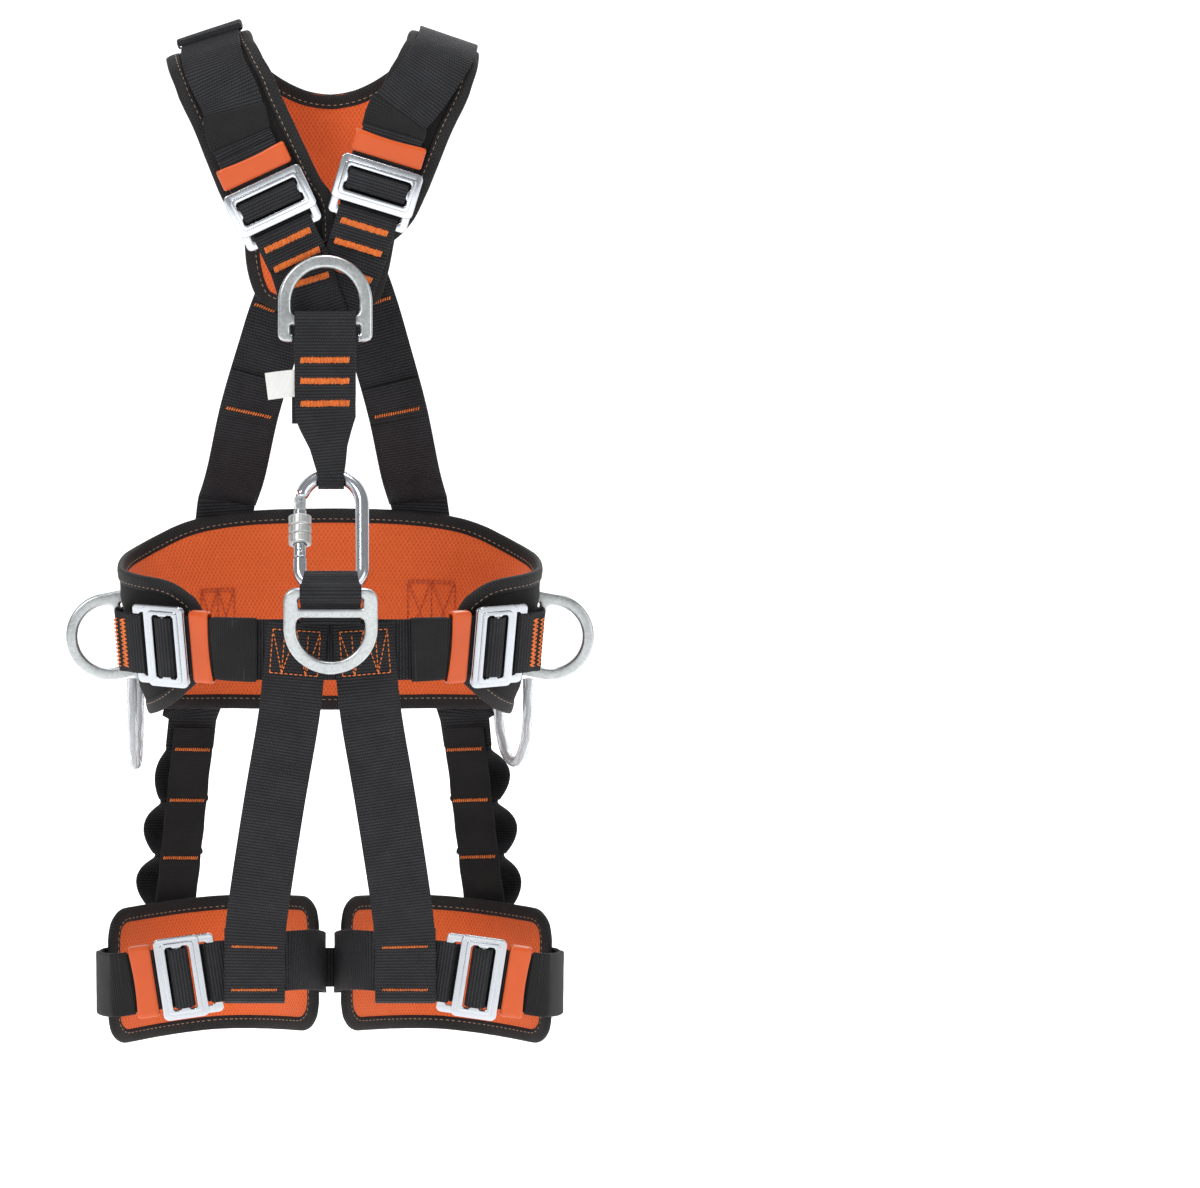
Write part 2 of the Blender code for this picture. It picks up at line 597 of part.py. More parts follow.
def sternal_strap(at):
    a = STERNAL_AXIS
    rad = 6.3
    top = CONN_TOP
    pts, width = [], []

    def add(p, w):
        pts.append(Vector(p))
        width.append(w)

    for i in range(9):                       # over the cross bar, back to front
        ang = math.radians(-20 + 220 * i / 8)
        add((a.x, a.y + rad * math.cos(ang), a.z + rad * math.sin(ang)), WEB_W)
    add((a.x, a.y - 6.3, a.z - 10.0), WEB_W)
    add((a.x, a.y - 6.3, a.z - 20.0), WEB_W)
    add((a.x, a.y - 3.6, a.z - 34.0), WEB_W)
    add((a.x, a.y - 4.0, a.z - 52.0), WEB_W)
    add((a.x + 0.5, a.y - 5.5, a.z - 72.0), 44.0)
    add((a.x + 2.5, a.y - 9.0, a.z - 92.0), 28.0)
    r2 = 9.2
    for i in range(9):                       # round the connector's top bar, front to back
        ang = math.radians(170 + 215 * i / 8)
        add((top.x, top.y + r2 * math.cos(ang), top.z + r2 * math.sin(ang)), 19.0)
    add((a.x + 2.5, a.y - 6.2, a.z - 92.0), 28.0)
    add((a.x + 0.5, a.y - 3.3, a.z - 72.0), 44.0)
    add((a.x, a.y - 1.8, a.z - 52.0), WEB_W)
    add((a.x, a.y - 0.8, a.z - 34.0), WEB_W)
    add((a.x, a.y + 6.3, a.z - 20.0), WEB_W)
    add((a.x, a.y + 6.3, a.z - 10.0), WEB_W)
    ribbon("sternal_strap", pts, X, width=width, closed=True)


def rear_straps():
    across_at = (-1.0, -0.5, 0.0, 0.5, 1.0)
    for side in (-1, 1):
        layer = 47.6 if side < 0 else 45.2
        rows = []
        rear_x = (10, 25, 37, 47, 61, 71.5) if side < 0 else (8, 20, 29, 38, 51, 61)
        ctrl = [Vector((side * x, y, z)) for x, (y, z) in zip(rear_x, ((layer, 294), (layer, 270), (46.8, 245), (49.5, 214), (62, 166), (83, 117)))]
        off = BELT_PAD_T / 2 + 0.8 + WEB_T / 2
        belt_x = (78, 80, 84, 90, 97, 101) if side < 0 else (67, 69.5, 74.5, 82, 92, 99)
        belt_rows = tuple(zip(belt_x, (92, 78, 50, 5, -38, -62)))
        mids = [belt_pt(belt_deg_at_x(side * x, z), z, off) for x, z in belt_rows]
        path = spline(ctrl + mids[:1], 3)[:-1]
        for i, p in enumerate(path):
            t = (path[min(i + 1, len(path) - 1)] - path[max(i - 1, 0)]).normalized()
            w = (X - t * X.dot(t)).normalized()
            n = w.cross(t).normalized()
            if n.y < 0:
                n = -n
            rows.append(([p + w * (WEB_W / 2 * f) for f in across_at], [n] * 5))
        fine = []
        for (x0, z0), (x1, z1) in zip(belt_rows, belt_rows[1:]):
            fine += [(x0 + (x1 - x0) * k / 3, z0 + (z1 - z0) * k / 3) for k in range(3)]
        for x, z in fine + [belt_rows[-1]]:
            pts, normals = [], []
            for f in across_at:
                deg = belt_deg_at_x(side * x + WEB_W / 2 * f * 0.96, z)
                pts.append(belt_pt(deg, z - f * side * 3.0 * min(1.0, (92 - z) / 20), off))
                normals.append(belt_normal(deg, z))
            rows.append((pts, normals))
        # slack webbing gathered in three folds behind the elastic, down to the leg pad
        n = Vector((side * 0.6, 0.8, 0))
        across = Vector((0.8, -side * 0.6, 0))
        start = mids[-1] + n * 1.5 + Vector((0, 0, -10))
        end = leg_pt(side, 70.0, 0, LEG_STRAP_OFF + 3.2)
        last = Vector((end.x, end.y, -240.0))
        end.z = -216.0
        steps = 30
        centre = [start.lerp(end, i / steps) + n * (20.0 * math.sin(math.pi * 3 * i / steps) ** 2) for i in range(steps + 1)] + [last]
        for i, p in enumerate(centre):
            t = (centre[min(i + 1, len(centre) - 1)] - centre[max(i - 1, 0)]).normalized()
            w = (across - t * across.dot(t)).normalized()
            rows.append(([p + w * (WEB_W / 2 * f) for f in across_at], [w.cross(t)] * 5))
        band(side_name(side) + "_rear_strap", rows)
        e0 = start.lerp(end, 0.04) - n * 3.4
        e1 = start.lerp(end, 0.92) - n * 3.4
        ribbon(side_name(side) + "_rear_elastic", [e0.lerp(e1, i / 4) for i in range(5)], across, width=38.0, thick=1.4)


# ---------------------------------------------------------------- dorsal plate
def dorsal():
    y0, y1 = 51.4, 55.4
    zb = 259.0
    outer = [(33.5, 66), (47.7, 46), (47.0, 34), (16.5, 0), (-16.5, 0), (-47.0, 34), (-47.7, 46), (-33.5, 66)]
    window = [(-27.0, 57), (-30.0, 50), (0, 19), (30.0, 50), (27.0, 57)]

    def slot(s):
        return [(s * 40.5, 41.0), (s * 38.2, 42.8), (s * 13.0, 10.0), (s * 15.3, 8.2)]

    extruded("dorsal_plate", outer, [window, slot(-1), slot(1)], lambda a, b, c: Vector((a, c, zb + b)), y0, y1, MOULDED)
    a = DORSAL_AXIS
    rad = 6.0
    pts = []
    for i in range(7):                       # round the ring's cross bar
        ang = math.radians(-60 + 190 * i / 6)
        pts.append(Vector((0, a.y + rad * math.cos(ang), a.z + rad * math.sin(ang))))
    for y, z in ((59.0, zb + 70.0), (53.5, zb + 68.6), (50.4, zb + 67.2), (50.0, zb + 62.0), (50.4, zb + 56.6), (52.4, zb + 54.8), (58.0, zb + 55.8), (64.0, zb + 58.4)):
        pts.append(Vector((0, y, z)))
    ribbon("dorsal_loop", pts, X, width=36.0, closed=True)


# ---------------------------------------------------------------- waist webbing
def band_deg(side, deg_from_side):
    return deg_from_side if side > 0 else 180 - deg_from_side


def waist_webbing():
    right, left = BUCKLES["waist", -1], BUCKLES["waist", 1]
    turn = ((43.0, -1.9), (45.5, -3.6), (47.5, -6.4), (50.0, -11.0))
    fr, fl = (b.frame_fold(end=43.0) + [b.at(u, n) for u, n in turn] for b in (right, left))
    pts = list(fr)
    wd = [right.w] * len(pts)
    for i in range(31):
        deg = 180 + 9.0 - (180 + 18.0) * i / 30
        y = belt_pt(deg, 0, 0).y
        pts.append(belt_pt(deg, band_z(y), BAND_OFF))
        wd.append(belt_up(deg))
    pts += fl[::-1]
    wd += [left.w] * len(fl)
    ribbon("rear_belt_webbing", pts, wd)
    y = FRONT_BAND_Y
    br, bl = ([Vector((s * 61, y - 3.0, 8.0)), BUCKLES["waist", s].at(-50, -3.4)] + BUCKLES["waist", s].bar_fold(tail=41)[1:] for s in (-1, 1))
    mid = [Vector((x, y + d, 8.0)) for x, d in ((-58, 0.8), (-36, 0.2), (0, 0.0), (36, 0.2), (58, 0.8))]
    ribbon("front_belt_webbing", br + mid + bl[::-1], [Z] + [right.w] * (len(br) - 1) + [Z] * 5 + [left.w] * (len(bl) - 1) + [Z])


def ventral_loop():
    """Closed loop of webbing round the ring's end bar and the connector's lower bar, sewn to the belt."""
    x = CONN_BOTTOM.x - 0.4
    c, a = CONN_BOTTOM, VENTRAL_AXIS
    rows = [(-112.6, 34.0, 44.0), (-112.4, 45.0, 42.0), (-112.2, 52.0, 30.0)]
    for i in range(6):                       # over the connector's lower bar
        ang = math.radians(10 + 110 * i / 5)
        rows.append((c.y + 8.0 * math.cos(ang), c.z + 8.0 * math.sin(ang), 30.0))
    for i in range(8):                       # round the ring's end bar and through its slot
        ang = math.radians(80 + 205 * i / 7)
        rows.append((a.y + 6.4 * math.cos(ang), a.z + 6.4 * math.sin(ang), 36.0 if i == 0 else 45.0))
    rows += [(-125.0, 44.5, 44.0), (-118.0, 38.0, 44.0), (-115.0, 33.0, 44.0), (-114.6, 29.0, 44.0), (-113.6, 27.4, 44.0), (-112.7, 29.0, 44.0)]
    ribbon("ventral_loop", [Vector((x, y, z)) for y, z, _ in rows], X, width=[w for _, _, w in rows], closed=True)


# ---------------------------------------------------------------- leg loops
def leg_pt(side, deg, h, off):
    """Point on a leg loop: deg 0 is its outer end, 90 the back, 180 the inner end; h is height over its middle line."""
    c = math.cos(math.radians(deg))
    xi, y = LEG_A * c, LEG_B * (1 - abs(c) ** LEG_N)
    n = Vector((side * LEG_B * LEG_N * spow(c, LEG_N - 1) / LEG_A, 1.0, 0)).normalized()
    return Vector((side * (LEG_X + xi), y, LEG_Z - 0.10 * y - 0.07 * xi + h)) + n * off


def leg_pads():
    for side in (-1, 1):
        loops = []
        steps = 20
        for i in range(steps + 1):
            deg = 180 * i / steps
            f = min(i, steps - i) / steps
            half = LEG_PAD_H / 2 * (0.66 if f == 0 else 0.84 if f < 0.06 else 0.97 if f < 0.11 else 1.0)
            t = LEG_PAD_T / 2
            rows = [(-half, 0.55), (-half + 6, 1.0), (0, 1.0), (half - 6, 1.0), (half, 0.55)]
            loops.append([leg_pt(side, deg, h, t * k) for h, k in rows] + [leg_pt(side, deg, h, -t * k) for h, k in reversed(rows)])
        strip(side_name(side) + "_leg_pad", loops, PADDED)


def leg_straps():
    for side in (-1, 1):
        b = BUCKLES["leg", side]
        fold = b.frame_fold(end=44.0)
        ctrl = [fold[-1], b.at(60, -1.4), b.at(78, -2.4)]
        ctrl += [Vector((side * x, y, z)) for x, y, z in ((15.5, -61.0, -232.0), (7.6, -36.0, -237.5), (4.4, -16.0, -242.5), (4.1, -5.0, -245.5), (4.6, 2.4, -247.0))]
        for deg in (164, 152, 140, 128, 116, 104, 90, 76, 64, 52, 40, 28, 16):
            ctrl.append(leg_pt(side, deg, 0, LEG_STRAP_OFF))
        rear = b.bar_fold(tail=40)
        ctrl += [Vector((side * x, y, z)) for x, y, z in ((171.6, 2.4, -258.2), (173.4, -8.0, -257.5), (173.2, -28.0, -255.5), (168.5, -52.0, -252.5))] + [b.at(-50, -6.5), rear[-1]]
        path = spline(ctrl, 2)[:-1]
        pts = fold[:-1] + path + rear[::-1]
        wd = [b.w] * (len(fold) - 1) + [b.w.lerp(Z, min(1.0, i / 5)) for i in range(len(path))] + [b.w] * len(rear)
        ribbon(side_name(side) + "_leg_strap", pts, wd)


def thigh_straps():
    for side in (-1, 1):
        n = side
        y0 = FRONT_BAND_Y - WEB_T - GAP - 0.2
        ctrl = [Vector((n * x, y, z)) for x, y, z in ((24, y0, 28), (26, y0, 0), (30, y0 + 0.6, -40), (40, -103, -100), (50, -94.5, -165))]
        ctrl += [Vector((n * 55, -87.2, -204)), Vector((n * 56, -85.4, -232)), Vector((n * 56, -85.0, -253.6))]
        pts = spline(ctrl, 3)
        for y, z in ((-83.8, -261.2), (-79.2, -264.2), (-75.0, -261.0), (-74.2, -251.6), (-74.2, -232.0), (-74.0, -206.0)):
            pts.append(Vector((n * 56, y, z)))
        ribbon(side_name(side) + "_thigh_strap", pts, X)


def crotch_link():
    z = leg_pt(1, 170, 0, 0).z
    y = -10.0
    ribbon("crotch_link", [Vector((x, y, z)) for x in (-2.9, 0, 2.9)], Z, width=30.0, thick=3.0)


# ---------------------------------------------------------------- tool loops
TOOL_LOOP = {-1: (-7.0, 16.0), 1: (-7.0, 35.0)}     # where each loop's ends are sewn, in degrees from the belt's side towards the back


def tool_loops():
    for side in (-1, 1):
        d0, d1 = (band_deg(side, d) for d in TOOL_LOOP[side])
        p0, p1 = belt_pt(d0, -26.5, 9.4), belt_pt(d1, -26.5, 9.4)
        mid = (p0 + p1) / 2
        ctrl = [p0, p0 + Vector((0, 0, -22)), p0.lerp(p1, 0.06) + Vector((0, 0, -46)), p0.lerp(p1, 0.26) + Vector((0, 0, -64)),
                mid + Vector((0, 0, -69)), p0.lerp(p1, 0.74) + Vector((0, 0, -64)), p0.lerp(p1, 0.94) + Vector((0, 0, -46)),
                p1 + Vector((0, 0, -22)), p1]
        pts = spline(ctrl, 2)
        loops = []
        across = Vector((p1.y - p0.y, -(p1.x - p0.x), 0)).normalized()
        for i, p in enumerate(pts):
            t = (pts[min(i + 1, len(pts) - 1)] - pts[max(i - 1, 0)]).normalized()
            w = (across - t * across.dot(t)).normalized()
            h = t.cross(w)
            loops.append([p + w * (4 * math.cos(math.tau * k / 8)) + h * (4 * math.sin(math.tau * k / 8)) for k in range(8)])
        skin(side_name(side) + "_tool_loop", loops, CLEAR, origin=mid, smooth=True)


# ---------------------------------------------------------------- assembly
rings()
for _b in BUCKLES.values():
    _b.build()
_at, _length = connector()
back_yoke_pad()
shoulder_straps()
chest_straps()
sternal_strap(_at)
rear_straps()
dorsal()
waist_belt_pad()
waist_webbing()
ventral_loop()
leg_pads()
leg_straps()
thigh_straps()
crotch_link()
tool_loops()
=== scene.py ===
import math
import random

import bmesh
import bpy
from mathutils import Matrix, Vector, noise
from mathutils.kdtree import KDTree


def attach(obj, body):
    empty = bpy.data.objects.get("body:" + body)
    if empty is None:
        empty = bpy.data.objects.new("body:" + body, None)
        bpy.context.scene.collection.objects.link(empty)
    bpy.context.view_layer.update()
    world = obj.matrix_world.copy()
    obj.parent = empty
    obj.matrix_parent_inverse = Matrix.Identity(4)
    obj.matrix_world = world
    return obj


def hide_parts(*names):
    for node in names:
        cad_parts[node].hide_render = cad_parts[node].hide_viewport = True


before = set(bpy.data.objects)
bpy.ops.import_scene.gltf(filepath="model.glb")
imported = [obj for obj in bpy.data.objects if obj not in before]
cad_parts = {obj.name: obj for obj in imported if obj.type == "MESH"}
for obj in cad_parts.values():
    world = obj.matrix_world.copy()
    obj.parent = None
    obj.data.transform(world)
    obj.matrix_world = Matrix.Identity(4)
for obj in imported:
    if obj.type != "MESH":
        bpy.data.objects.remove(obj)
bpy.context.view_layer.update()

rng = random.Random(11)
MM = 0.001
X, Y, Z = Vector((1, 0, 0)), Vector((0, 1, 0)), Vector((0, 0, 1))
SCENE = bpy.context.scene


# ================================================================ materials
class Mat:
    """Principled material with a few short calls for its nodes."""

    def __init__(self, name, colour, rough, metal=0.0, spec=0.5):
        self.m = bpy.data.materials.new(name)
        self.m.use_nodes = True
        self.t = self.m.node_tree
        self.b = self.t.nodes["Principled BSDF"]
        self.b.inputs["Base Color"].default_value = (*colour, 1)
        self.b.inputs["Roughness"].default_value = rough
        self.b.inputs["Metallic"].default_value = metal
        self.b.inputs["Specular IOR Level"].default_value = spec

    def node(self, kind, **kw):
        n = self.t.nodes.new(kind)
        for k, v in kw.items():
            setattr(n, k, v)
        return n

    def put(self, sock, v):
        if isinstance(v, (int, float)):
            sock.default_value = v
        else:
            self.t.links.new(v, sock)

    def math(self, op, a, b=None, clamp=False):
        n = self.node("ShaderNodeMath", operation=op, use_clamp=clamp)
        self.put(n.inputs[0], a)
        if b is not None:
            self.put(n.inputs[1], b)
        return n.outputs[0]

    def uv(self):
        n = self.node("ShaderNodeUVMap", uv_map="UVMap")
        s = self.node("ShaderNodeSeparateXYZ")
        self.t.links.new(n.outputs[0], s.inputs[0])
        return s.outputs[0], s.outputs[1]

    def place(self):
        return self.node("ShaderNodeTexCoord").outputs["Object"]

    def noise(self, scale, detail=3.0, rough=0.55):
        n = self.node("ShaderNodeTexNoise")
        n.inputs["Scale"].default_value = scale
        n.inputs["Detail"].default_value = detail
        n.inputs["Roughness"].default_value = rough
        self.t.links.new(self.place(), n.inputs["Vector"])
        return n.outputs["Fac"]

    def ramp(self, fac, stops):
        n = self.node("ShaderNodeValToRGB")
        el = n.color_ramp.elements
        while len(el) < len(stops):
            el.new(0.5)
        for e, (pos, col) in zip(el, stops):
            e.position = pos
            e.color = (*col, 1)
        self.put(n.inputs[0], fac)
        return n.outputs[0]

    def colour(self, sock):
        self.t.links.new(sock, self.b.inputs["Base Color"])

    def rough(self, fac, lo, hi):
        n = self.node("ShaderNodeMapRange")
        self.put(n.inputs[0], fac)
        n.inputs[3].default_value = lo
        n.inputs[4].default_value = hi
        self.t.links.new(n.outputs[0], self.b.inputs["Roughness"])

    def bump(self, height, strength, dist):
        n = self.node("ShaderNodeBump")
        n.inputs["Strength"].default_value = strength
        n.inputs["Distance"].default_value = dist
        self.put(n.inputs["Height"], height)
        self.t.links.new(n.outputs[0], self.b.inputs["Normal"])

    def wave(self, v, period, phase=0.0):
        """Rounded ridges, one per period."""
        a = self.math("MULTIPLY", v, math.pi / period)
        if not (isinstance(phase, float) and phase == 0.0):
            a = self.math("ADD", a, phase)
        return self.math("ABSOLUTE", self.math("SINE", a))


def webbing_material(name, dark, light, rib=2.3, warp=1.9, rough=0.72, bump=0.55):
    m = Mat(name, dark, rough)
    s, a = m.uv()
    row = m.math("MODULO", m.math("FLOOR", m.math("DIVIDE", s, rib)), 2.0)
    shift = m.math("MULTIPLY", row, math.pi / 2)
    h = m.math("ADD", m.math("MULTIPLY", m.wave(s, rib), 0.62), m.math("MULTIPLY", m.wave(a, warp, shift), 0.38))
    n = m.noise(55.0)
    f = m.math("ADD", m.math("MULTIPLY", h, 0.75), m.math("MULTIPLY", n, 0.35))
    m.colour(m.ramp(f, [(0.1, [c * 0.45 for c in dark]), (0.55, dark), (0.95, light)]))
    m.rough(f, rough + 0.12, rough - 0.1)
    m.b.inputs["Sheen Weight"].default_value = 0.03
    m.b.inputs["Sheen Roughness"].default_value = 0.4
    m.b.inputs["Specular IOR Level"].default_value = 0.32
    m.bump(h, bump, 0.0007)
    return m.m


def knit_material(name, dark, light, period=1.5, rough=0.88, bump=0.35, sheen=0.03):
    m = Mat(name, dark, rough)
    u, v = m.uv()
    h = m.math("MULTIPLY", m.wave(m.math("ADD", u, v), period), m.wave(m.math("SUBTRACT", u, v), period))
    n = m.noise(35.0, 4.0)
    f = m.math("ADD", m.math("MULTIPLY", h, 0.6), m.math("MULTIPLY", n, 0.5))
    m.colour(m.ramp(f, [(0.15, [c * 0.5 for c in dark]), (0.5, dark), (0.95, light)]))
    m.b.inputs["Sheen Weight"].default_value = sheen
    m.b.inputs["Specular IOR Level"].default_value = 0.25
    m.bump(h, bump, 0.0006)
    return m.m


def mesh_material(name):
    """Orange spacer mesh: a lattice of soft strands round small darker holes."""
    m = Mat(name, (0.78, 0.13, 0.015), 0.8)
    u, v = m.uv()
    p, q = m.math("ADD", u, m.math("MULTIPLY", v, 0.62)), m.math("SUBTRACT", u, m.math("MULTIPLY", v, 0.62))
    h = m.math("MULTIPLY", m.wave(p, 3.1), m.wave(q, 3.1))
    n = m.noise(16.0, 4.0)
    f = m.math("ADD", m.math("SUBTRACT", 1.0, m.math("MULTIPLY", h, 0.8)), m.math("MULTIPLY", m.math("SUBTRACT", n, 0.5), 0.35))
    m.colour(m.ramp(f, [(0.12, (0.54, 0.070, 0.011)), (0.42, (0.72, 0.108, 0.016)), (0.95, (0.84, 0.142, 0.023))]))
    m.b.inputs["Sheen Weight"].default_value = 0.1
    m.bump(m.math("SUBTRACT", 1.0, h), 0.5, 0.0010)
    return m.m


def thread_material(name, dark, light):
    m = Mat(name, light, 0.5)
    n = m.noise(420.0, 2.0)
    w = m.noise(28.0, 2.0)
    f = m.math("ADD", m.math("MULTIPLY", n, 0.6), m.math("MULTIPLY", w, 0.5))
    m.colour(m.ramp(f, [(0.3, dark), (0.65, light)]))
    m.b.inputs["Sheen Weight"].default_value = 0.2
    m.bump(n, 0.35, 0.0003)
    return m.m


def zinc_material(name, base=(0.60, 0.62, 0.64), rough=0.26, patches=0.5):
    """Bright zinc plate: faint crystal patches, fine handling scratches."""
    m = Mat(name, base, rough, metal=1.0)
    v = m.node("ShaderNodeTexVoronoi")
    v.inputs["Scale"].default_value = 620.0
    m.t.links.new(m.place(), v.inputs["Vector"])
    part_of = m.node("ShaderNodeSeparateColor")
    m.t.links.new(v.outputs["Color"], part_of.inputs[0])
    cells = part_of.outputs[0]
    n = m.noise(26.0, 3.0)
    fine = m.noise(900.0, 2.0)
    f = m.math("ADD", m.math("MULTIPLY", cells, patches), m.math("MULTIPLY", n, 1.0 - patches))
    m.colour(m.ramp(f, [(0.15, [c * (1 - 0.55 * patches) for c in base]), (0.5, base), (0.85, [min(1, c * (1 + 0.4 * patches)) for c in base])]))
    m.rough(f, rough - 0.04, rough + 0.22 * patches + 0.04)
    m.bump(m.math("ADD", m.math("MULTIPLY", n, 0.6), m.math("MULTIPLY", fine, 0.25)), 0.05, 0.0004)
    return m.m


def plastic_material(name, dark, light, rough=0.36, grain=500.0):
    m = Mat(name, light, rough)
    n = m.noise(18.0, 3.0)
    g = m.noise(grain, 2.0)
    m.colour(m.ramp(n, [(0.3, dark), (0.7, light)]))
    m.rough(g, rough - 0.05, rough + 0.12)
    m.bump(g, 0.12, 0.0003)
    return m.m


def tube_material(name):
    m = Mat(name, (0.93, 0.95, 0.97), 0.1)
    m.b.inputs["Transmission Weight"].default_value = 0.8
    m.b.inputs["IOR"].default_value = 1.3
    n = m.noise(60.0, 3.0)
    m.rough(n, 0.06, 0.22)
    m.bump(n, 0.08, 0.0006)
    return m.m


def braid_material(name, dark, light):
    m = Mat(name, light, 0.7)
    s, a = m.uv()
    h = m.math("MULTIPLY", m.wave(m.math("ADD", s, a), 2.4), m.wave(m.math("SUBTRACT", s, a), 2.4))
    m.colour(m.ramp(h, [(0.0, dark), (0.6, light)]))
    m.bump(h, 0.6, 0.0006)
    return m.m


WEB = webbing_material("webbing", (0.0044, 0.0045, 0.0056), (0.0270, 0.0280, 0.0335), bump=0.9)
ELASTIC = webbing_material("elastic", (0.0075, 0.0072, 0.0074), (0.018, 0.0175, 0.018), rib=1.3, warp=2.6, rough=0.86, bump=0.3)
SHELL = knit_material("pad_shell", (0.0095, 0.0086, 0.0090), (0.026, 0.0236, 0.0242))
LINING = mesh_material("pad_lining")
BINDING = webbing_material("binding", (0.0075, 0.0068, 0.0070), (0.024, 0.0225, 0.023), rib=1.5, warp=4.0, rough=0.75, bump=0.4)
THREAD = thread_material("orange_thread", (0.68, 0.118, 0.009), (0.96, 0.225, 0.020))
BROWN = thread_material("dark_orange_thread", (0.34, 0.036, 0.008), (0.46, 0.056, 0.012))
TAN = thread_material("tan_thread", (0.26, 0.168, 0.104), (0.45, 0.312, 0.208))
BLACK_THREAD = thread_material("black_thread", (0.008, 0.008, 0.009), (0.03, 0.03, 0.032))
ZINC = zinc_material("zinc", (0.575, 0.605, 0.612), 0.29, 0.40)
BRIGHT = zinc_material("polished_zinc", (0.58, 0.61, 0.65), 0.18, 0.2)
MATTE = zinc_material("matte_zinc", (0.60, 0.612, 0.60), 0.42, 0.12)
ORANGE = plastic_material("orange_plastic", (0.58, 0.079, 0.010), (0.67, 0.099, 0.012), 0.28)
MOULDED = plastic_material("black_moulding", (0.010, 0.011, 0.013), (0.022, 0.024, 0.028), 0.46, 700.0)
TUBE = tube_material("clear_tube")
CORD = braid_material("white_cord", (0.58, 0.58, 0.60), (0.92, 0.92, 0.93))
TAPE = webbing_material("white_tape", (0.78, 0.78, 0.76), (0.94, 0.94, 0.92), rib=0.9, warp=0.9, rough=0.8, bump=0.15)


# ================================================================ mesh helpers
def make(name, verts, faces, mat, uv=None, body="harness", replaces=(), slot=None, sharp=None):
    me = bpy.data.meshes.new(name)
    me.from_pydata([v * MM for v in verts], [], faces)
    me.materials.append(mat)
    if uv is not None:
        layer = me.uv_layers.new(name="UVMap")
        for loop in me.loops:
            layer.data[loop.index].uv = uv[loop.vertex_index]
    bm = bmesh.new()
    bm.from_mesh(me)
    bmesh.ops.recalc_face_normals(bm, faces=bm.faces)
    bm.to_mesh(me)
    bm.free()
    me.shade_smooth()
    if sharp:
        me.set_sharp_from_angle(angle=math.radians(sharp))
    return place_object(name, me, body, replaces, slot)


def place_object(name, me, body, replaces, slot):
    ob = bpy.data.objects.new(name, me)
    SCENE.collection.objects.link(ob)
    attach(ob, body)
    if replaces:
        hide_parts(*replaces)
    return ob


def loft_faces(n, k, closed=False, caps=True):
    faces = []
    for i in range(n if closed else n - 1):
        a, b = i * k, ((i + 1) % n) * k
        for j in range(k):
            m = (j + 1) % k
            faces.append((a + j, a + m, b + m, b + j))
    if not closed and caps:
        faces.append(tuple(range(k)))
        faces.append(tuple(range((n - 1) * k, n * k)))
    return faces


def curve_at(p0, p1, p2, p3, t):
    """Centripetal curve between p1 and p2, which does not overshoot where points are uneven."""
    d = [max((b - a).length, 1e-4) ** 0.5 for a, b in ((p0, p1), (p1, p2), (p2, p3))]
    t0, t1 = 0.0, d[0]
    t2 = t1 + d[1]
    t3 = t2 + d[2]
    u = t1 + (t2 - t1) * t
    a1 = p0 * ((t1 - u) / (t1 - t0)) + p1 * ((u - t0) / (t1 - t0))
    a2 = p1 * ((t2 - u) / (t2 - t1)) + p2 * ((u - t1) / (t2 - t1))
    a3 = p2 * ((t3 - u) / (t3 - t2)) + p3 * ((u - t2) / (t3 - t2))
    b1 = a1 * ((t2 - u) / (t2 - t0)) + a2 * ((u - t0) / (t2 - t0))
    b2 = a2 * ((t3 - u) / (t3 - t1)) + a3 * ((u - t1) / (t3 - t1))
    return b1 * ((t2 - u) / (t2 - t1)) + b2 * ((u - t1) / (t2 - t1))


def refine(pts, closed=False, turn=9.0, step=5.0):
    """Points on the smooth curve through pts with the place of each among them, closer together in bends."""
    n = len(pts)
    dense = []
    for i in range(n if closed else n - 1):
        p1, p2 = pts[i], pts[(i + 1) % n]
        p0 = pts[i - 1] if closed or i > 0 else p1 * 2 - p2
        p3 = pts[(i + 2) % n] if closed or i < n - 2 else p2 * 2 - p1
        m = max(3, int((p2 - p1).length / 0.6))
        for k in range(m):
            dense.append((curve_at(p0, p1, p2, p3, k / m), i + k / m))
    if not closed:
        dense.append((pts[-1].copy(), float(n - 1)))
    out = [dense[0]]
    run, bend = 0.0, 0.0
    for j in range(1, len(dense) - 1):
        a = dense[j][0] - dense[j - 1][0]
        b = dense[j + 1][0] - dense[j][0]
        run += a.length
        if a.length > 1e-6 and b.length > 1e-6:
            bend += math.degrees(a.angle(b))
        if run >= step or (bend >= turn and run > 0.5):
            out.append(dense[j])
            run, bend = 0.0, 0.0
    if not closed:
        out.append(dense[-1])
    return out


def pick(values, place, n):
    """Value at a fractional place in a list, or the value itself."""
    if not isinstance(values, list):
        return values
    i = min(int(place), n - 1)
    j = (i + 1) % n
    f = place - i
    if i == n - 1 and len(values) == n and f == 0:
        return values[i]
    return values[i] * (1 - f) + values[j] * f


SECTION = [(-1.0, 0.12), (-0.985, 0.75), (-0.95, 1.0), (-0.7, 0.94), (-0.35, 1.0), (0.0, 0.96), (0.35, 1.0), (0.7, 0.94), (0.95, 1.0), (0.985, 0.75), (1.0, 0.12)]


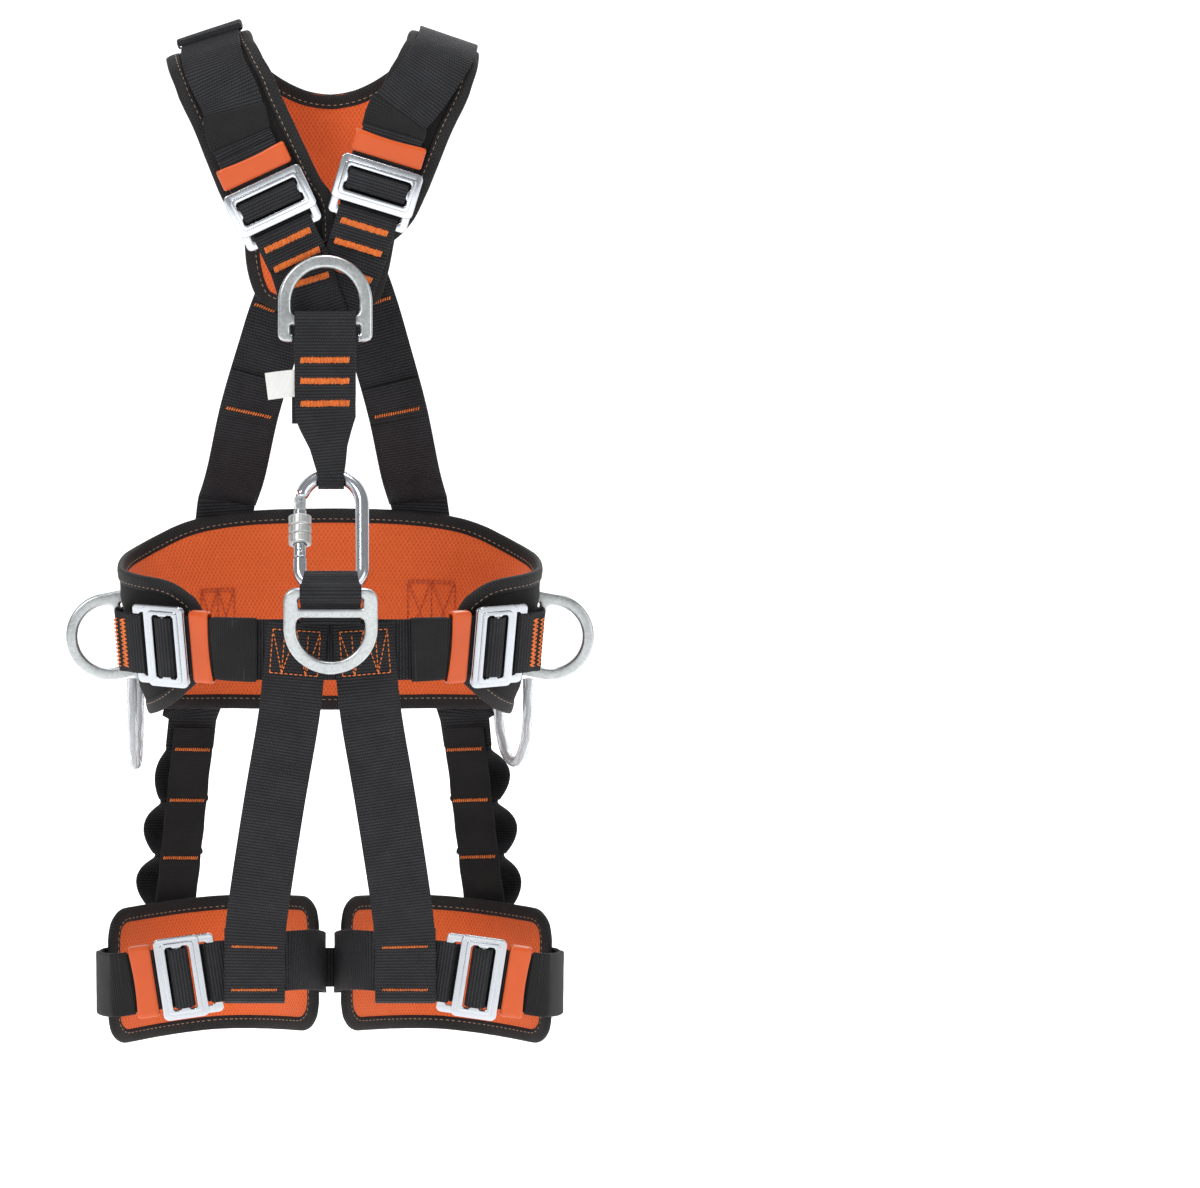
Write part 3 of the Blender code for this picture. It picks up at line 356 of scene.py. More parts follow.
class Strap:
    """Flat webbing along a path, which also says where its surface is."""

    def __init__(self, name, pts, wdir, width=45.0, thick=1.6, closed=False, mat=None, body="harness", replaces=(), slot="black_webbing", slack=0.3,
                 turn=9.0, step=5.0):
        n = len(pts)
        fine = refine(pts, closed, turn, step)
        self.rows = []
        s = 0.0
        last = None
        m = len(fine)
        for i, (p, place) in enumerate(fine):
            ahead = fine[(i + 1) % m][0] if closed else fine[min(i + 1, m - 1)][0]
            behind = fine[i - 1][0] if closed else fine[max(i - 1, 0)][0]
            t = (ahead - behind).normalized()
            w = pick(wdir, place, n)
            w = (w - t * w.dot(t)).normalized()
            h = t.cross(w)
            if last is not None:
                s += (p - last).length
            last = p
            p = p + h * (slack * noise.noise(p * 0.035 + Vector((3.1, 0, 0))))
            self.rows.append((p, t, w, h, pick(width, place, n) / 2, s))
        self.thick = thick
        verts, uv = [], []
        for p, t, w, h, half, s in self.rows:
            for a, k in SECTION:
                verts.append(p + w * (a * half) + h * (k * thick / 2))
                uv.append((s, a * half))
            for a, k in reversed(SECTION):
                verts.append(p + w * (a * half) - h * (k * thick / 2))
                uv.append((s, a * half))
        faces = loft_faces(len(self.rows), 2 * len(SECTION), closed)
        self.ob = make(name, verts, faces, mat or WEB, uv, body, replaces, slot, sharp=55)

    def find(self, key, value, lo=0, hi=None):
        rows = self.rows[lo:hi]
        return lo + min(range(len(rows)), key=lambda i: abs(key(rows[i][0]) - value))

    def at(self, i, a, toward, lift=0.0, along=0.0):
        """Point on the side that faces toward, a mm across from the middle."""
        p, t, w, h, half, _ = self.rows[i]
        n = h if h.dot(toward) > 0 else -h
        return p + w * a + t * along + n * (self.thick / 2 + lift), n

    def length(self):
        return self.rows[-1][5]


def py(p):
    return 640 - (p.z * 0.990 + p.y * 0.139) / 0.75


def px(p):
    return 330 + p.x / 0.75


class Sewing:
    """Thread lying on fabric, gathered into one piece."""

    def __init__(self):
        self.v, self.f = [], []

    def dash(self, a, b, n, r=0.42, lift=0.2, sink=0.25, k=5):
        d = (b - a)
        if d.length < 1e-4:
            return
        d.normalize()
        n = (n - d * n.dot(d)).normalized()
        w = d.cross(n)
        base = len(self.v)
        for f, rr, up in ((0.0, 0.45, -sink), (0.14, 0.95, lift), (0.5, 1.0, lift * 1.25), (0.86, 0.95, lift), (1.0, 0.45, -sink)):
            c = a.lerp(b, f) + n * up
            for j in range(k):
                ang = math.tau * j / k
                self.v.append(c + (w * math.cos(ang) + n * math.sin(ang)) * (r * rr))
        self.f += [tuple(base + i for i in fc) for fc in loft_faces(5, k)]

    def line(self, pts, dash=3.4, gap=1.5, r=0.42, lift=0.15):
        """Running stitch along (point, normal) pairs."""
        fine = []
        for (p, n), (q, m) in zip(pts, pts[1:]):
            cnt = max(1, int((q - p).length / 0.5))
            fine += [(p.lerp(q, i / cnt), n.lerp(m, i / cnt)) for i in range(cnt)]
        fine.append(pts[-1])
        s, start, on = 0.0, fine[0], True
        for (p, n), (q, m) in zip(fine, fine[1:]):
            s += (q - p).length
            if on and s >= dash:
                self.dash(start[0], q, n, r, lift)
                on, s = False, 0.0
            elif not on and s >= gap:
                start, on, s = (q, m), True, 0.0

    def satin(self, a, b, n, width=5.0, pitch=0.95, r=0.5, lift=0.35):
        """Bar tack: close zigzag threads across the line from a to b."""
        d = b - a
        length = d.length
        d.normalize()
        w = n.cross(d).normalized() * (width / 2)
        cnt = max(3, int(length / pitch))
        for i in range(cnt):
            c0 = a + d * (length * i / cnt)
            c1 = a + d * (length * (i + 0.5) / cnt)
            self.dash(c0 - w * rng.uniform(0.86, 1.1), c1 + w * rng.uniform(0.86, 1.1), n, r * rng.uniform(0.85, 1.1), lift * rng.uniform(0.7, 1.3), k=5)

    def zigzag(self, a, b, n, width=3.0, pitch=2.4, r=0.45, lift=0.2):
        d = b - a
        length = d.length
        d.normalize()
        w = n.cross(d).normalized() * (width / 2)
        cnt = max(2, int(length / pitch))
        for i in range(cnt):
            c0, c1, c2 = (a + d * (length * (i + f) / cnt) for f in (0.0, 0.5, 1.0))
            self.dash(c0 - w, c1 + w, n, r, lift)
            self.dash(c1 + w, c2 - w, n, r, lift)

    def done(self, name, mat=None, body="harness", slot="orange_thread"):
        return make(name, self.v, self.f, mat or THREAD, None, body, (), slot)


def plate(name, outer, holes, origin, a, b, c, c0, c1, r, mat, body="harness", replaces=(), slot="zinc_steel", res=3):
    """Flat outline with holes and rounded edges between c0 and c1 along c."""
    cu = bpy.data.curves.new(name + "_curve", "CURVE")
    cu.dimensions = "2D"
    cu.fill_mode = "BOTH"
    cu.extrude = ((c1 - c0) / 2 - r) * MM
    cu.bevel_depth = r * MM
    cu.bevel_resolution = res
    cu.offset = -r * MM
    for loop in [outer] + list(holes):
        sp = cu.splines.new("POLY")
        sp.points.add(len(loop) - 1)
        for pt, (p, q) in zip(sp.points, loop):
            pt.co = (p * MM, q * MM, 0, 1)
        sp.use_cyclic_u = True
    tmp = bpy.data.objects.new(name + "_tmp", cu)
    SCENE.collection.objects.link(tmp)
    bpy.context.view_layer.update()
    me = bpy.data.meshes.new_from_object(tmp.evaluated_get(bpy.context.evaluated_depsgraph_get()))
    bpy.data.objects.remove(tmp, do_unlink=True)
    bpy.data.curves.remove(cu)
    me.name = name
    o = (origin + c * ((c0 + c1) / 2)) * MM
    me.transform(Matrix(((a.x, b.x, c.x, o.x), (a.y, b.y, c.y, o.y), (a.z, b.z, c.z, o.z), (0, 0, 0, 1))))
    bm = bmesh.new()
    bm.from_mesh(me)
    bmesh.ops.remove_doubles(bm, verts=bm.verts, dist=2e-6)
    bmesh.ops.recalc_face_normals(bm, faces=bm.faces)
    bm.to_mesh(me)
    bm.free()
    me.materials.clear()
    me.materials.append(mat)
    me.shade_smooth()
    me.set_sharp_from_angle(angle=math.radians(38))
    return place_object(name, me, body, replaces, slot)


def tube(name, pts, radius, mat, k=20, closed=False, body="harness", replaces=(), slot="zinc_steel", caps=True):
    """Round bar along pts; radius is one for all or one per point."""
    n = len(pts)
    verts, uv = [], []
    up = None
    s = 0.0
    for i, p in enumerate(pts):
        ahead = pts[(i + 1) % n] if closed else pts[min(i + 1, n - 1)]
        behind = pts[i - 1] if closed else pts[max(i - 1, 0)]
        t = (ahead - behind).normalized()
        if up is None:
            up = (X if abs(t.x) < 0.8 else Y)
        up = (up - t * up.dot(t)).normalized()
        side = t.cross(up)
        r = radius[i] if isinstance(radius, list) else radius
        if i:
            s += (p - pts[i - 1]).length
        for j in range(k):
            ang = math.tau * j / k
            verts.append(p + (up * math.cos(ang) + side * math.sin(ang)) * r)
            uv.append((s, r * ang))
    return make(name, verts, loft_faces(n, k, closed, caps), mat, uv, body, replaces, slot, sharp=42)


def rrect(a0, a1, b0, b1, r, k=6):
    out = []
    for ca, cb, start in ((a1 - r, b1 - r, 0), (a0 + r, b1 - r, 90), (a0 + r, b0 + r, 180), (a1 - r, b0 + r, 270)):
        for i in range(k + 1):
            ang = math.radians(start + 90 * i / k)
            out.append((ca + r * math.cos(ang), cb + r * math.sin(ang)))
    return out


def rounded(pts, r, k=5):
    """Closed outline with each corner rounded; r is one radius or one per corner."""
    out = []
    n = len(pts)
    for i, p in enumerate(pts):
        p = Vector(p).to_2d() if not isinstance(p, Vector) else p
        a, b = Vector(pts[i - 1]), Vector(pts[(i + 1) % n])
        rr = r[i] if isinstance(r, (list, tuple)) else r
        da, db = (a - p), (b - p)
        la, lb = da.length, db.length
        da.normalize()
        db.normalize()
        half = da.angle(db) / 2
        if rr <= 0.01 or half > math.radians(88):
            out.append((p.x, p.y))
            continue
        cutb = min(rr / math.tan(half), la * 0.49, lb * 0.49)
        rr = cutb * math.tan(half)
        mid = (da + db).normalized()
        c = p + mid * (rr / math.sin(half))
        v0, v1 = (p + da * cutb) - c, (p + db * cutb) - c
        a0 = math.atan2(v0.y, v0.x)
        dd = math.atan2(v0.x * v1.y - v0.y * v1.x, v0.dot(v1))
        for j in range(k + 1):
            ang = a0 + dd * j / k
            out.append((c.x + rr * math.cos(ang), c.y + rr * math.sin(ang)))
    return out


def spline(ctrl, per=4):
    out = []
    n = len(ctrl)
    for i in range(n - 1):
        p0, p1, p2, p3 = ctrl[max(i - 1, 0)], ctrl[i], ctrl[i + 1], ctrl[min(i + 2, n - 1)]
        for s in range(per):
            t = s / per
            out.append(0.5 * ((2 * p1) + (p2 - p0) * t + (2 * p0 - 5 * p1 + 4 * p2 - p3) * t * t + (3 * p1 - p0 - 3 * p2 + p3) * t ** 3))
    out.append(ctrl[-1].copy())
    return out


def table(x, rows):
    if x <= rows[0][0]:
        return rows[0][1]
    for (x0, y0), (x1, y1) in zip(rows, rows[1:]):
        if x <= x1:
            return y0 + (y1 - y0) * (x - x0) / (x1 - x0)
    return rows[-1][1]


def spow(v, e):
    return math.copysign(abs(v) ** e, v)


def ease(f):
    f = min(1.0, max(0.0, f))
    return f * f * (3 - 2 * f)


# ================================================================ dimensions shared with the solids, in mm
WEB_W, WEB_T, GAP = 45.0, 1.6, 0.4
BELT_A, BELT_B, BELT_N, FLARE_A, FLARE_B, BELT_TIP = 144.5, 92.0, 2.8, 0.21, 0.10, 60.0
FRONT_BAND_Y, BAND_Z, WAIST_BUCKLE_OFF, BAND_OFF = -108.0, 2.0, 14.0, 8.6
LEG_X, LEG_A, LEG_B, LEG_N, LEG_Z, LEG_STRAP_OFF = 88.0, 78.0, 72.0, 1.7, -253.0, 6.6
RING_T = 6.0
ROD_R, CONN_W, CONN_LOW_R = 5.0, 45.5, 12.0
CONN_TOP, CONN_BOTTOM = Vector((0.8, -81.0, 133.0)), Vector((0.8, -120.0, 57.0))
GATE_PIVOT_Q, GATE_END_Q, SLEEVE_Q = 65.0, 21.0, (31.5, 53.5)
STERNAL_AXIS, VENTRAL_AXIS, DORSAL_AXIS = Vector((-3.5, -74.0, 246.5)), Vector((0.4, -133.0, 53.0)), Vector((0.0, 69.5, 327.0))
SIDE_RING_Y, SIDE_RING_OFF = 48.0, 13.6


def belt_ab(z):
    return BELT_A + FLARE_A * (z + 2), BELT_B + FLARE_B * z


def belt_pt(deg, z, off):
    a, b = belt_ab(z)
    c, s = math.cos(math.radians(deg)), math.sin(math.radians(deg))
    e = 2 / BELT_N
    n = Vector((spow(c, 2 - e) / a, spow(s, 2 - e) / b, 0)).normalized()
    return Vector((a * spow(c, e), b * spow(s, e), z)) + n * off


def belt_normal(deg, z):
    return (belt_pt(deg, z, 1.0) - belt_pt(deg, z, 0.0)).normalized()


def belt_deg_at_x(x, z):
    a, _ = belt_ab(z)
    return math.degrees(math.acos(spow(x / a, BELT_N / 2)))


def belt_up(deg, z=BAND_Z):
    return (belt_pt(deg, z + 15, 0) - belt_pt(deg, z - 15, 0)).normalized()


def band_z(y):
    return table(y, [(-70, 8.0), (0, 0.5), (48, -1.0), (75, 1.0), (97, 4.0)])


def leg_pt(side, deg, h, off):
    c = math.cos(math.radians(deg))
    xi, y = LEG_A * c, LEG_B * (1 - abs(c) ** LEG_N)
    n = Vector((side * LEG_B * LEG_N * spow(c, LEG_N - 1) / LEG_A, 1.0, 0)).normalized()
    return Vector((side * (LEG_X + xi), y, LEG_Z - 0.10 * y - 0.07 * xi + h)) + n * off


SHOULDER_SLOPE = 0.34


def shoulder(x, y, z):
    z -= 10.0 * min(1.0, max(0.0, (z - 425) / 34))
    return Vector((x, y, z - SHOULDER_SLOPE * max(0.0, abs(x) - 58) * ease((z - 380) / 70)))


def side_name(side):
    return "right" if side < 0 else "left"


class Buckle:
    def __init__(self, prefix, centre, u, n):
        self.c = Vector(centre)
        self.u = Vector(u).normalized()
        n = Vector(n)
        self.n = (n - self.u * n.dot(self.u)).normalized()
        self.w = self.n.cross(self.u)
        if self.w.z < -0.5 or (abs(self.w.z) <= 0.5 and self.w.x < 0):
            self.w = -self.w
        self.prefix = prefix

    def at(self, u, n, w=0.0):
        return self.c + self.u * u + self.n * n + self.w * w

    def bar_fold(self, tail=58.0, rear=42.0):
        rows = [(-tail, -2.6), (-40, -2.6), (-30, -2.6), (-18, -2.6), (-12, -2.6), (-8.4, -1.9), (-6.7, 0.2), (-6.5, 3.0), (-4.9, 5.9), (-2, 6.8),
                (2, 6.8), (4.9, 5.9), (6.5, 3.0), (6.6, -1.5), (5.0, -3.9), (1, -4.6), (-12, -4.6), (-30, -4.6), (-rear, -4.6)]
        if tail <= 40:
            rows = rows[2:]
        return [self.at(u, n) for u, n in rows]

    def frame_fold(self, end=47.0):
        rows = [(end, 0.8), (40, 0.8), (36, 0.9), (30.5, 2.3), (23.6, 2.3), (21.3, 2.1), (20.5, 0.8), (20.5, -1.2), (21.3, -2.5), (23.6, -2.7),
                (30.5, -2.7), (36, -1.5), (40, -1.4)]
        return [self.at(u, n) for u, n in rows]


BUCKLES = {}
for _s, _c, _u in ((-1, (-44.0, -57.5, 332.8), (0.423, 0, -0.906)), (1, (34.5, -57.5, 344.0), (-0.292, 0, -0.956))):
    BUCKLES["chest", _s] = Buckle(side_name(_s) + "_chest", _c, _u, -Y)
for _s in (-1, 1):
    _deg = -46.5 if _s > 0 else 226.5
    _up = belt_up(_deg, 8.0)
    _out = belt_normal(_deg, 8.0)
    _along = Vector((-_out.y, _out.x, 0)) * _s
    BUCKLES["waist", _s] = Buckle(side_name(_s) + "_waist", belt_pt(_deg, 8.0, WAIST_BUCKLE_OFF), _along, (_along.cross(_up) * _s))
    BUCKLES["leg", _s] = Buckle(side_name(_s) + "_leg", (_s * 110.5, -79.5, -241.5), (-_s * 0.989, 0.0, 0.148), (0.0, -1.0, 0.0))


# ================================================================ camera and light
def studio():
    cam_data = bpy.data.cameras.new("camera")
    cam = bpy.data.objects.new("camera", cam_data)
    SCENE.collection.objects.link(cam)
    dist, el = 4.5, math.radians(8.0)
    cam.location = (0.0, -dist * math.cos(el), dist * math.sin(el))
    cam.rotation_euler = (math.radians(90) - el, 0, 0)
    cam_data.sensor_width = 36.0
    cam_data.lens = 36.0 * dist / 0.900
    cam_data.shift_x = 0.225
    cam_data.shift_y = 0.0383
    cam_data.clip_end = 50
    cam_data.dof.use_dof = False
    SCENE.camera = cam

    floor_mat = Mat("studio_floor", (0.93, 0.93, 0.93), 0.9)
    floor_mat.b.inputs["Emission Color"].default_value = (1, 1, 1, 1)
    where = floor_mat.node("ShaderNodeSeparateXYZ")
    floor_mat.t.links.new(floor_mat.place(), where.inputs[0])
    glow = floor_mat.node("ShaderNodeMapRange")
    floor_mat.t.links.new(where.outputs[1], glow.inputs[0])
    for k, v in ((1, -0.9), (2, -0.25), (3, 0.0), (4, 0.62)):
        glow.inputs[k].default_value = v
    # brighter floor far in front, out of the picture, that the flat metal faces mirror
    ahead = floor_mat.node("ShaderNodeMapRange")
    floor_mat.t.links.new(where.outputs[1], ahead.inputs[0])
    for k, v in ((1, -1.7), (2, -2.6), (3, 0.0), (4, 1.5)):
        ahead.inputs[k].default_value = v
    beside = floor_mat.node("ShaderNodeMapRange")
    floor_mat.t.links.new(floor_mat.math("ABSOLUTE", where.outputs[0], 0.0), beside.inputs[0])
    for k, v in ((1, 0.8), (2, 2.6), (3, 1.0), (4, 0.34)):
        beside.inputs[k].default_value = v
    strip = floor_mat.math("MULTIPLY", ahead.outputs[0], beside.outputs[0])
    floor_mat.t.links.new(floor_mat.math("ADD", glow.outputs[0], strip), floor_mat.b.inputs["Emission Strength"])
    floor_mat.colour(floor_mat.ramp(floor_mat.noise(1.5), [(0.3, (0.92, 0.92, 0.92)), (0.7, (0.94, 0.94, 0.94))]))
    size, z0, near = 12.0, -0.372, 36.0
    rows = []
    for i in range(9):
        rows.append((-near + i * (near + 6.4) / 8, z0))
    for i in range(1, 13):
        ang = math.radians(90 * i / 12)
        rows.append((6.4 + 1.6 * math.sin(ang), z0 + 1.6 - 1.6 * math.cos(ang)))
    rows.append((8.0, 7.0))
    verts = [Vector((x, y, z)) for y, z in rows for x in (-size, size)]
    me = bpy.data.meshes.new("studio_floor")
    me.from_pydata(verts, [], [(2 * i, 2 * i + 1, 2 * i + 3, 2 * i + 2) for i in range(len(rows) - 1)])
    me.materials.append(floor_mat.m)
    me.shade_smooth()
    floor = bpy.data.objects.new("studio_floor", me)
    SCENE.collection.objects.link(floor)

    world = bpy.data.worlds.new("studio")
    world.use_nodes = True
    world.node_tree.nodes["Background"].inputs["Color"].default_value = (1, 1, 1, 1)
    world.node_tree.nodes["Background"].inputs["Strength"].default_value = 0.34
    SCENE.world = world
    for name, loc, size_m, power, target in (("key", (-2.2, -3.0, 2.4), 1.5, 62, (0, 0, 0.05)), ("fill", (2.8, -2.6, 0.9), 2.2, 26, (0, 0, 0)),
                                             ("top", (0.2, -0.3, 3.0), 1.6, 43, (0, 0, 0)), ("back", (0.6, 2.6, 2.0), 2.0, 24, (0, 0, 0.1))):
        ld = bpy.data.lights.new(name, "AREA")
        ld.shape = "DISK"
        ld.size = size_m
        ld.energy = power
        lo = bpy.data.objects.new(name, ld)
        lo.location = loc
        lo.rotation_euler = (Vector(target) - Vector(loc)).to_track_quat("-Z", "Y").to_euler()
        SCENE.collection.objects.link(lo)
    SCENE.view_settings.view_transform = "Standard"


studio()


# ================================================================ pads
BIND = [(1.2, 0.0), (0.95, 1.25), (0.0, 2.2), (-2.0, 2.75), (-5.0, 2.95), (-8.2, 2.85), (-9.6, 2.5), (-9.9, 1.6)]


def pad(prefix, verts, quads, uv, outward, node, t_full, sew_tan, sheet_noise=0.5):
    """Foam pad on a surface: black shell outside, orange mesh inside, both drawn down to a folded binding with a dashed stitch."""
    bm = bmesh.new()
    bv = [bm.verts.new(v) for v in verts]
    for q in quads:
        bm.faces.new([bv[i] for i in q])
    bm.normal_update()
    if sum(f.normal.dot(outward(f.calc_center_median())) for f in bm.faces) < 0:
        bmesh.ops.reverse_faces(bm, faces=bm.faces)
    bm.normal_update()
    bm.verts.index_update()
    bm.verts.ensure_lookup_table()
    normals = [v.normal.copy() for v in bm.verts]
    faces = [tuple(v.index for v in f.verts) for f in bm.faces]
    nxt = {}
    for e in bm.edges:
        if e.is_boundary:
            loop = e.link_loops[0]
            nxt[loop.vert.index] = loop.link_loop_next.vert.index
    inward = {}
    for i in nxt:
        c = Vector()
        cnt = 0
        for f in bm.verts[i].link_faces:
            c += f.calc_center_median()
            cnt += 1
        inward[i] = (c / cnt - bm.verts[i].co)
    bm.free()
    loops = []
    left = set(nxt)
    while left:
        i = min(left)
        loop = []
        while i in left:
            left.discard(i)
            loop.append(i)
            i = nxt[i]
        loops.append(loop)
    kd_pts = []
    for loop in loops:
        for a, b in zip(loop, loop[1:] + loop[:1]):
            for k in range(4):
                kd_pts.append(verts[a].lerp(verts[b], k / 4))
    kd = KDTree(len(kd_pts))
    for i, p in enumerate(kd_pts):
        kd.insert(p, i)
    kd.balance()
    edge_t = 1.9
    half = []
    for v in verts:
        d = kd.find(v)[2]
        h = edge_t + (t_full / 2 - edge_t) * ease((d - 8.0) / 13.0)
        h += sheet_noise * ease((d - 12) / 15) * noise.noise(v * 0.022)
        half.append(h)
    n = len(verts)
    edges = [(a, b) for loop in loops for a, b in zip(loop, loop[1:] + loop[:1])]
    for side, name, mat, slot in ((1, prefix + "_shell", SHELL, "pad_shell"), (-1, prefix + "_lining", LINING, "pad_lining")):
        top = [v + m * (side * h) for v, m, h in zip(verts, normals, half)]
        mid = [v + m * (side * 0.05) for v, m in zip(verts, normals)]
        fs = list(faces) + [tuple(i + n for i in reversed(f)) for f in faces] + [(b, a, a + n, b + n) for a, b in edges]
        ob = make(name, top + mid, fs, mat, list(uv) + list(uv), "harness", (node,) if side > 0 else (), slot)
    for li, loop in enumerate(loops):
        fine = refine([verts[i] for i in loop], True, 8.0, 4.0)
        m = len(fine)
        k = len(loop)
        rows = []
        for j, (p, place) in enumerate(fine):
            i = int(place) % k
            f = place - int(place)
            nn = normals[loop[i]].lerp(normals[loop[(i + 1) % k]], f).normalized()
            iw = inward[loop[i]].lerp(inward[loop[(i + 1) % k]], f)
            t = (fine[(j + 1) % m][0] - fine[j - 1][0]).normalized()
            e = t.cross(nn).normalized()
            if e.dot(iw) > 0:
                e = -e
            rows.append((p, t, e, nn))
        for _ in range(2):      # the tape turns corners smoothly
            rows = [(rows[j][0], rows[j][1], (rows[j - 1][2] + rows[j][2] * 2 + rows[(j + 1) % m][2]).normalized(),
                     (rows[j - 1][3] + rows[j][3] * 2 + rows[(j + 1) % m][3]).normalized()) for j in range(m)]
        sec = BIND + [(e, -h) for e, h in reversed(BIND[1:])]
        vv, vu = [], []
        s = 0.0
        for j, (p, t, e, nn) in enumerate(rows):
            if j:
                s += (p - rows[j - 1][0]).length
            wob = 0.12 * noise.noise(p * 0.12)
            for q, (a, h) in enumerate(sec):
                vv.append(p + e * (a + wob) + nn * h)
                vu.append((s, a))
        make(prefix + "_binding" + ("" if li == 0 else str(li)), vv, loft_faces(m, len(sec), True), BINDING, vu, "harness", (), "pad_shell", sharp=60)
        for sgn in (1, -1):
            sew_tan.line([(p + e * -6.8 + nn * (sgn * 2.9), nn * sgn) for p, t, e, nn in rows] + [(rows[0][0] + rows[0][2] * -6.8 + rows[0][3] * (sgn * 2.9), rows[0][3] * sgn)],
                         dash=2.5, gap=1.6, r=0.27, lift=0.10)


PAD_TOP = [(-90, 86.5), (-75, 85), (-58, 80), (-37, 67), (-25, 62), (0, 56.5), (20, 56.5), (45, 55), (51, 52), (56, 46), (58.5, 39), (60, 31)]
PAD_BOTTOM = [(-90, -65), (-41, -61), (0, -54), (25, -46), (39.5, -36.6), (51.5, -22), (56, -16), (60, -8)]


def grid(cols, rows_n, point, edges):
    """Quads over columns; edges gives each column's low and high end, point maps (column, height)."""
    verts, uv, quads = [], [], []
    s = 0.0
    last = None
    for c in cols:
        lo, hi = edges(c)
        mid = point(c, (lo + hi) / 2)
        if last is not None:
            s += (mid - last).length
        last = mid
        for r in range(rows_n + 1):
            h = lo + (hi - lo) * r / rows_n
            verts.append(point(c, h))
            uv.append((s, h))
    k = rows_n + 1
    for i in range(len(cols) - 1):
        for r in range(rows_n):
            quads.append((i * k + r, i * k + r + 1, (i + 1) * k + r + 1, (i + 1) * k + r))
    return verts, quads, uv


def corner(d, r):
    """How far a rounded corner of radius r is drawn in, d from the end."""
    return 0.0 if d >= r else r - math.sqrt(max(0.0, r * r - (r - d) ** 2))


def end_columns(lo, hi, steps, near):
    """Column places, closer together towards both ends."""
    out = []
    for i in range(near):
        f = i / near
        out.append(lo + (hi - lo) * 0.06 * f * f)
    out += [lo + (hi - lo) * (0.06 + 0.88 * i / steps) for i in range(steps + 1)]
    out += [lo + hi - v for v in reversed(out[:near])]
    return out


def belt_pad(sew_tan):
    tips = (180 + BELT_TIP, -BELT_TIP)
    ends = [belt_pt(t, 8, 0) for t in tips]

    def smooth_table(d, rows):
        r = min(6.0, (60.01 - d) * 0.9)
        return sum(table(d + r * k, rows) for k in (-1.0, -0.5, 0.0, 0.5, 1.0)) / 5

    def edges(deg):
        d = abs(deg - 90) - 90
        mid = belt_pt(deg, 8, 0)
        inset = corner(min((mid - e).length for e in ends), 9.0)
        return smooth_table(d, PAD_BOTTOM) + inset, smooth_table(d, PAD_TOP) - inset

    verts, quads, uv = grid(end_columns(*tips, 110, 9), 16, lambda c, h: belt_pt(c, h, 0), edges)
    pad("belt_pad", verts, quads, uv, lambda p: Vector((p.x, p.y, 0)), "waist_belt_pad", 9.0, sew_tan)


def leg_pads(sew_tan):
    for side in (-1, 1):
        ends = [leg_pt(side, d, 0, 0) for d in (0, 180)]

        def edges(deg):
            mid = leg_pt(side, deg, 0, 0)
            d = min((mid - e).length for e in ends)
            inset = corner(d, 21.0)
            return -51.0 + inset, 51.0 - inset

        verts, quads, uv = grid([math.degrees(math.acos(1 - 2 * i / 110)) for i in range(111)], 14, lambda c, h: leg_pt(side, c, h, 0), edges)
        pad(side_name(side) + "_leg_pad", verts, quads, uv, lambda p: Vector((p.x - side * LEG_X, p.y, 0)), side_name(side) + "_leg_pad", 9.0, sew_tan)


YOKE_ROWS = [(40, 240, 0, 30, 14), (40, 252, 0, 52, 35), (40, 275, 0, 61, 43), (40, 310, 0, 64, 50), (39, 345, 0, 69, 61), (38, 378, 0, 80, 77), (37, 405, 0, 92, 92),
             (35, 425, 48, 104, 102), (31, 443, 56, 114, 107), (20, 457, 60, 119, 109), (0, 464, 60, 120, 109), (-20, 457, 57, 118, 108), (-33, 440, 50, 114, 105),
             (-40, 410, 37.5, 108, 99), (-43, 375, 21, 95, 85), (-45, 340, 4, 81, 71), (-46, 318, 2.5, 70, 60), (-46.5, 296, 2.5, 50, 42)]


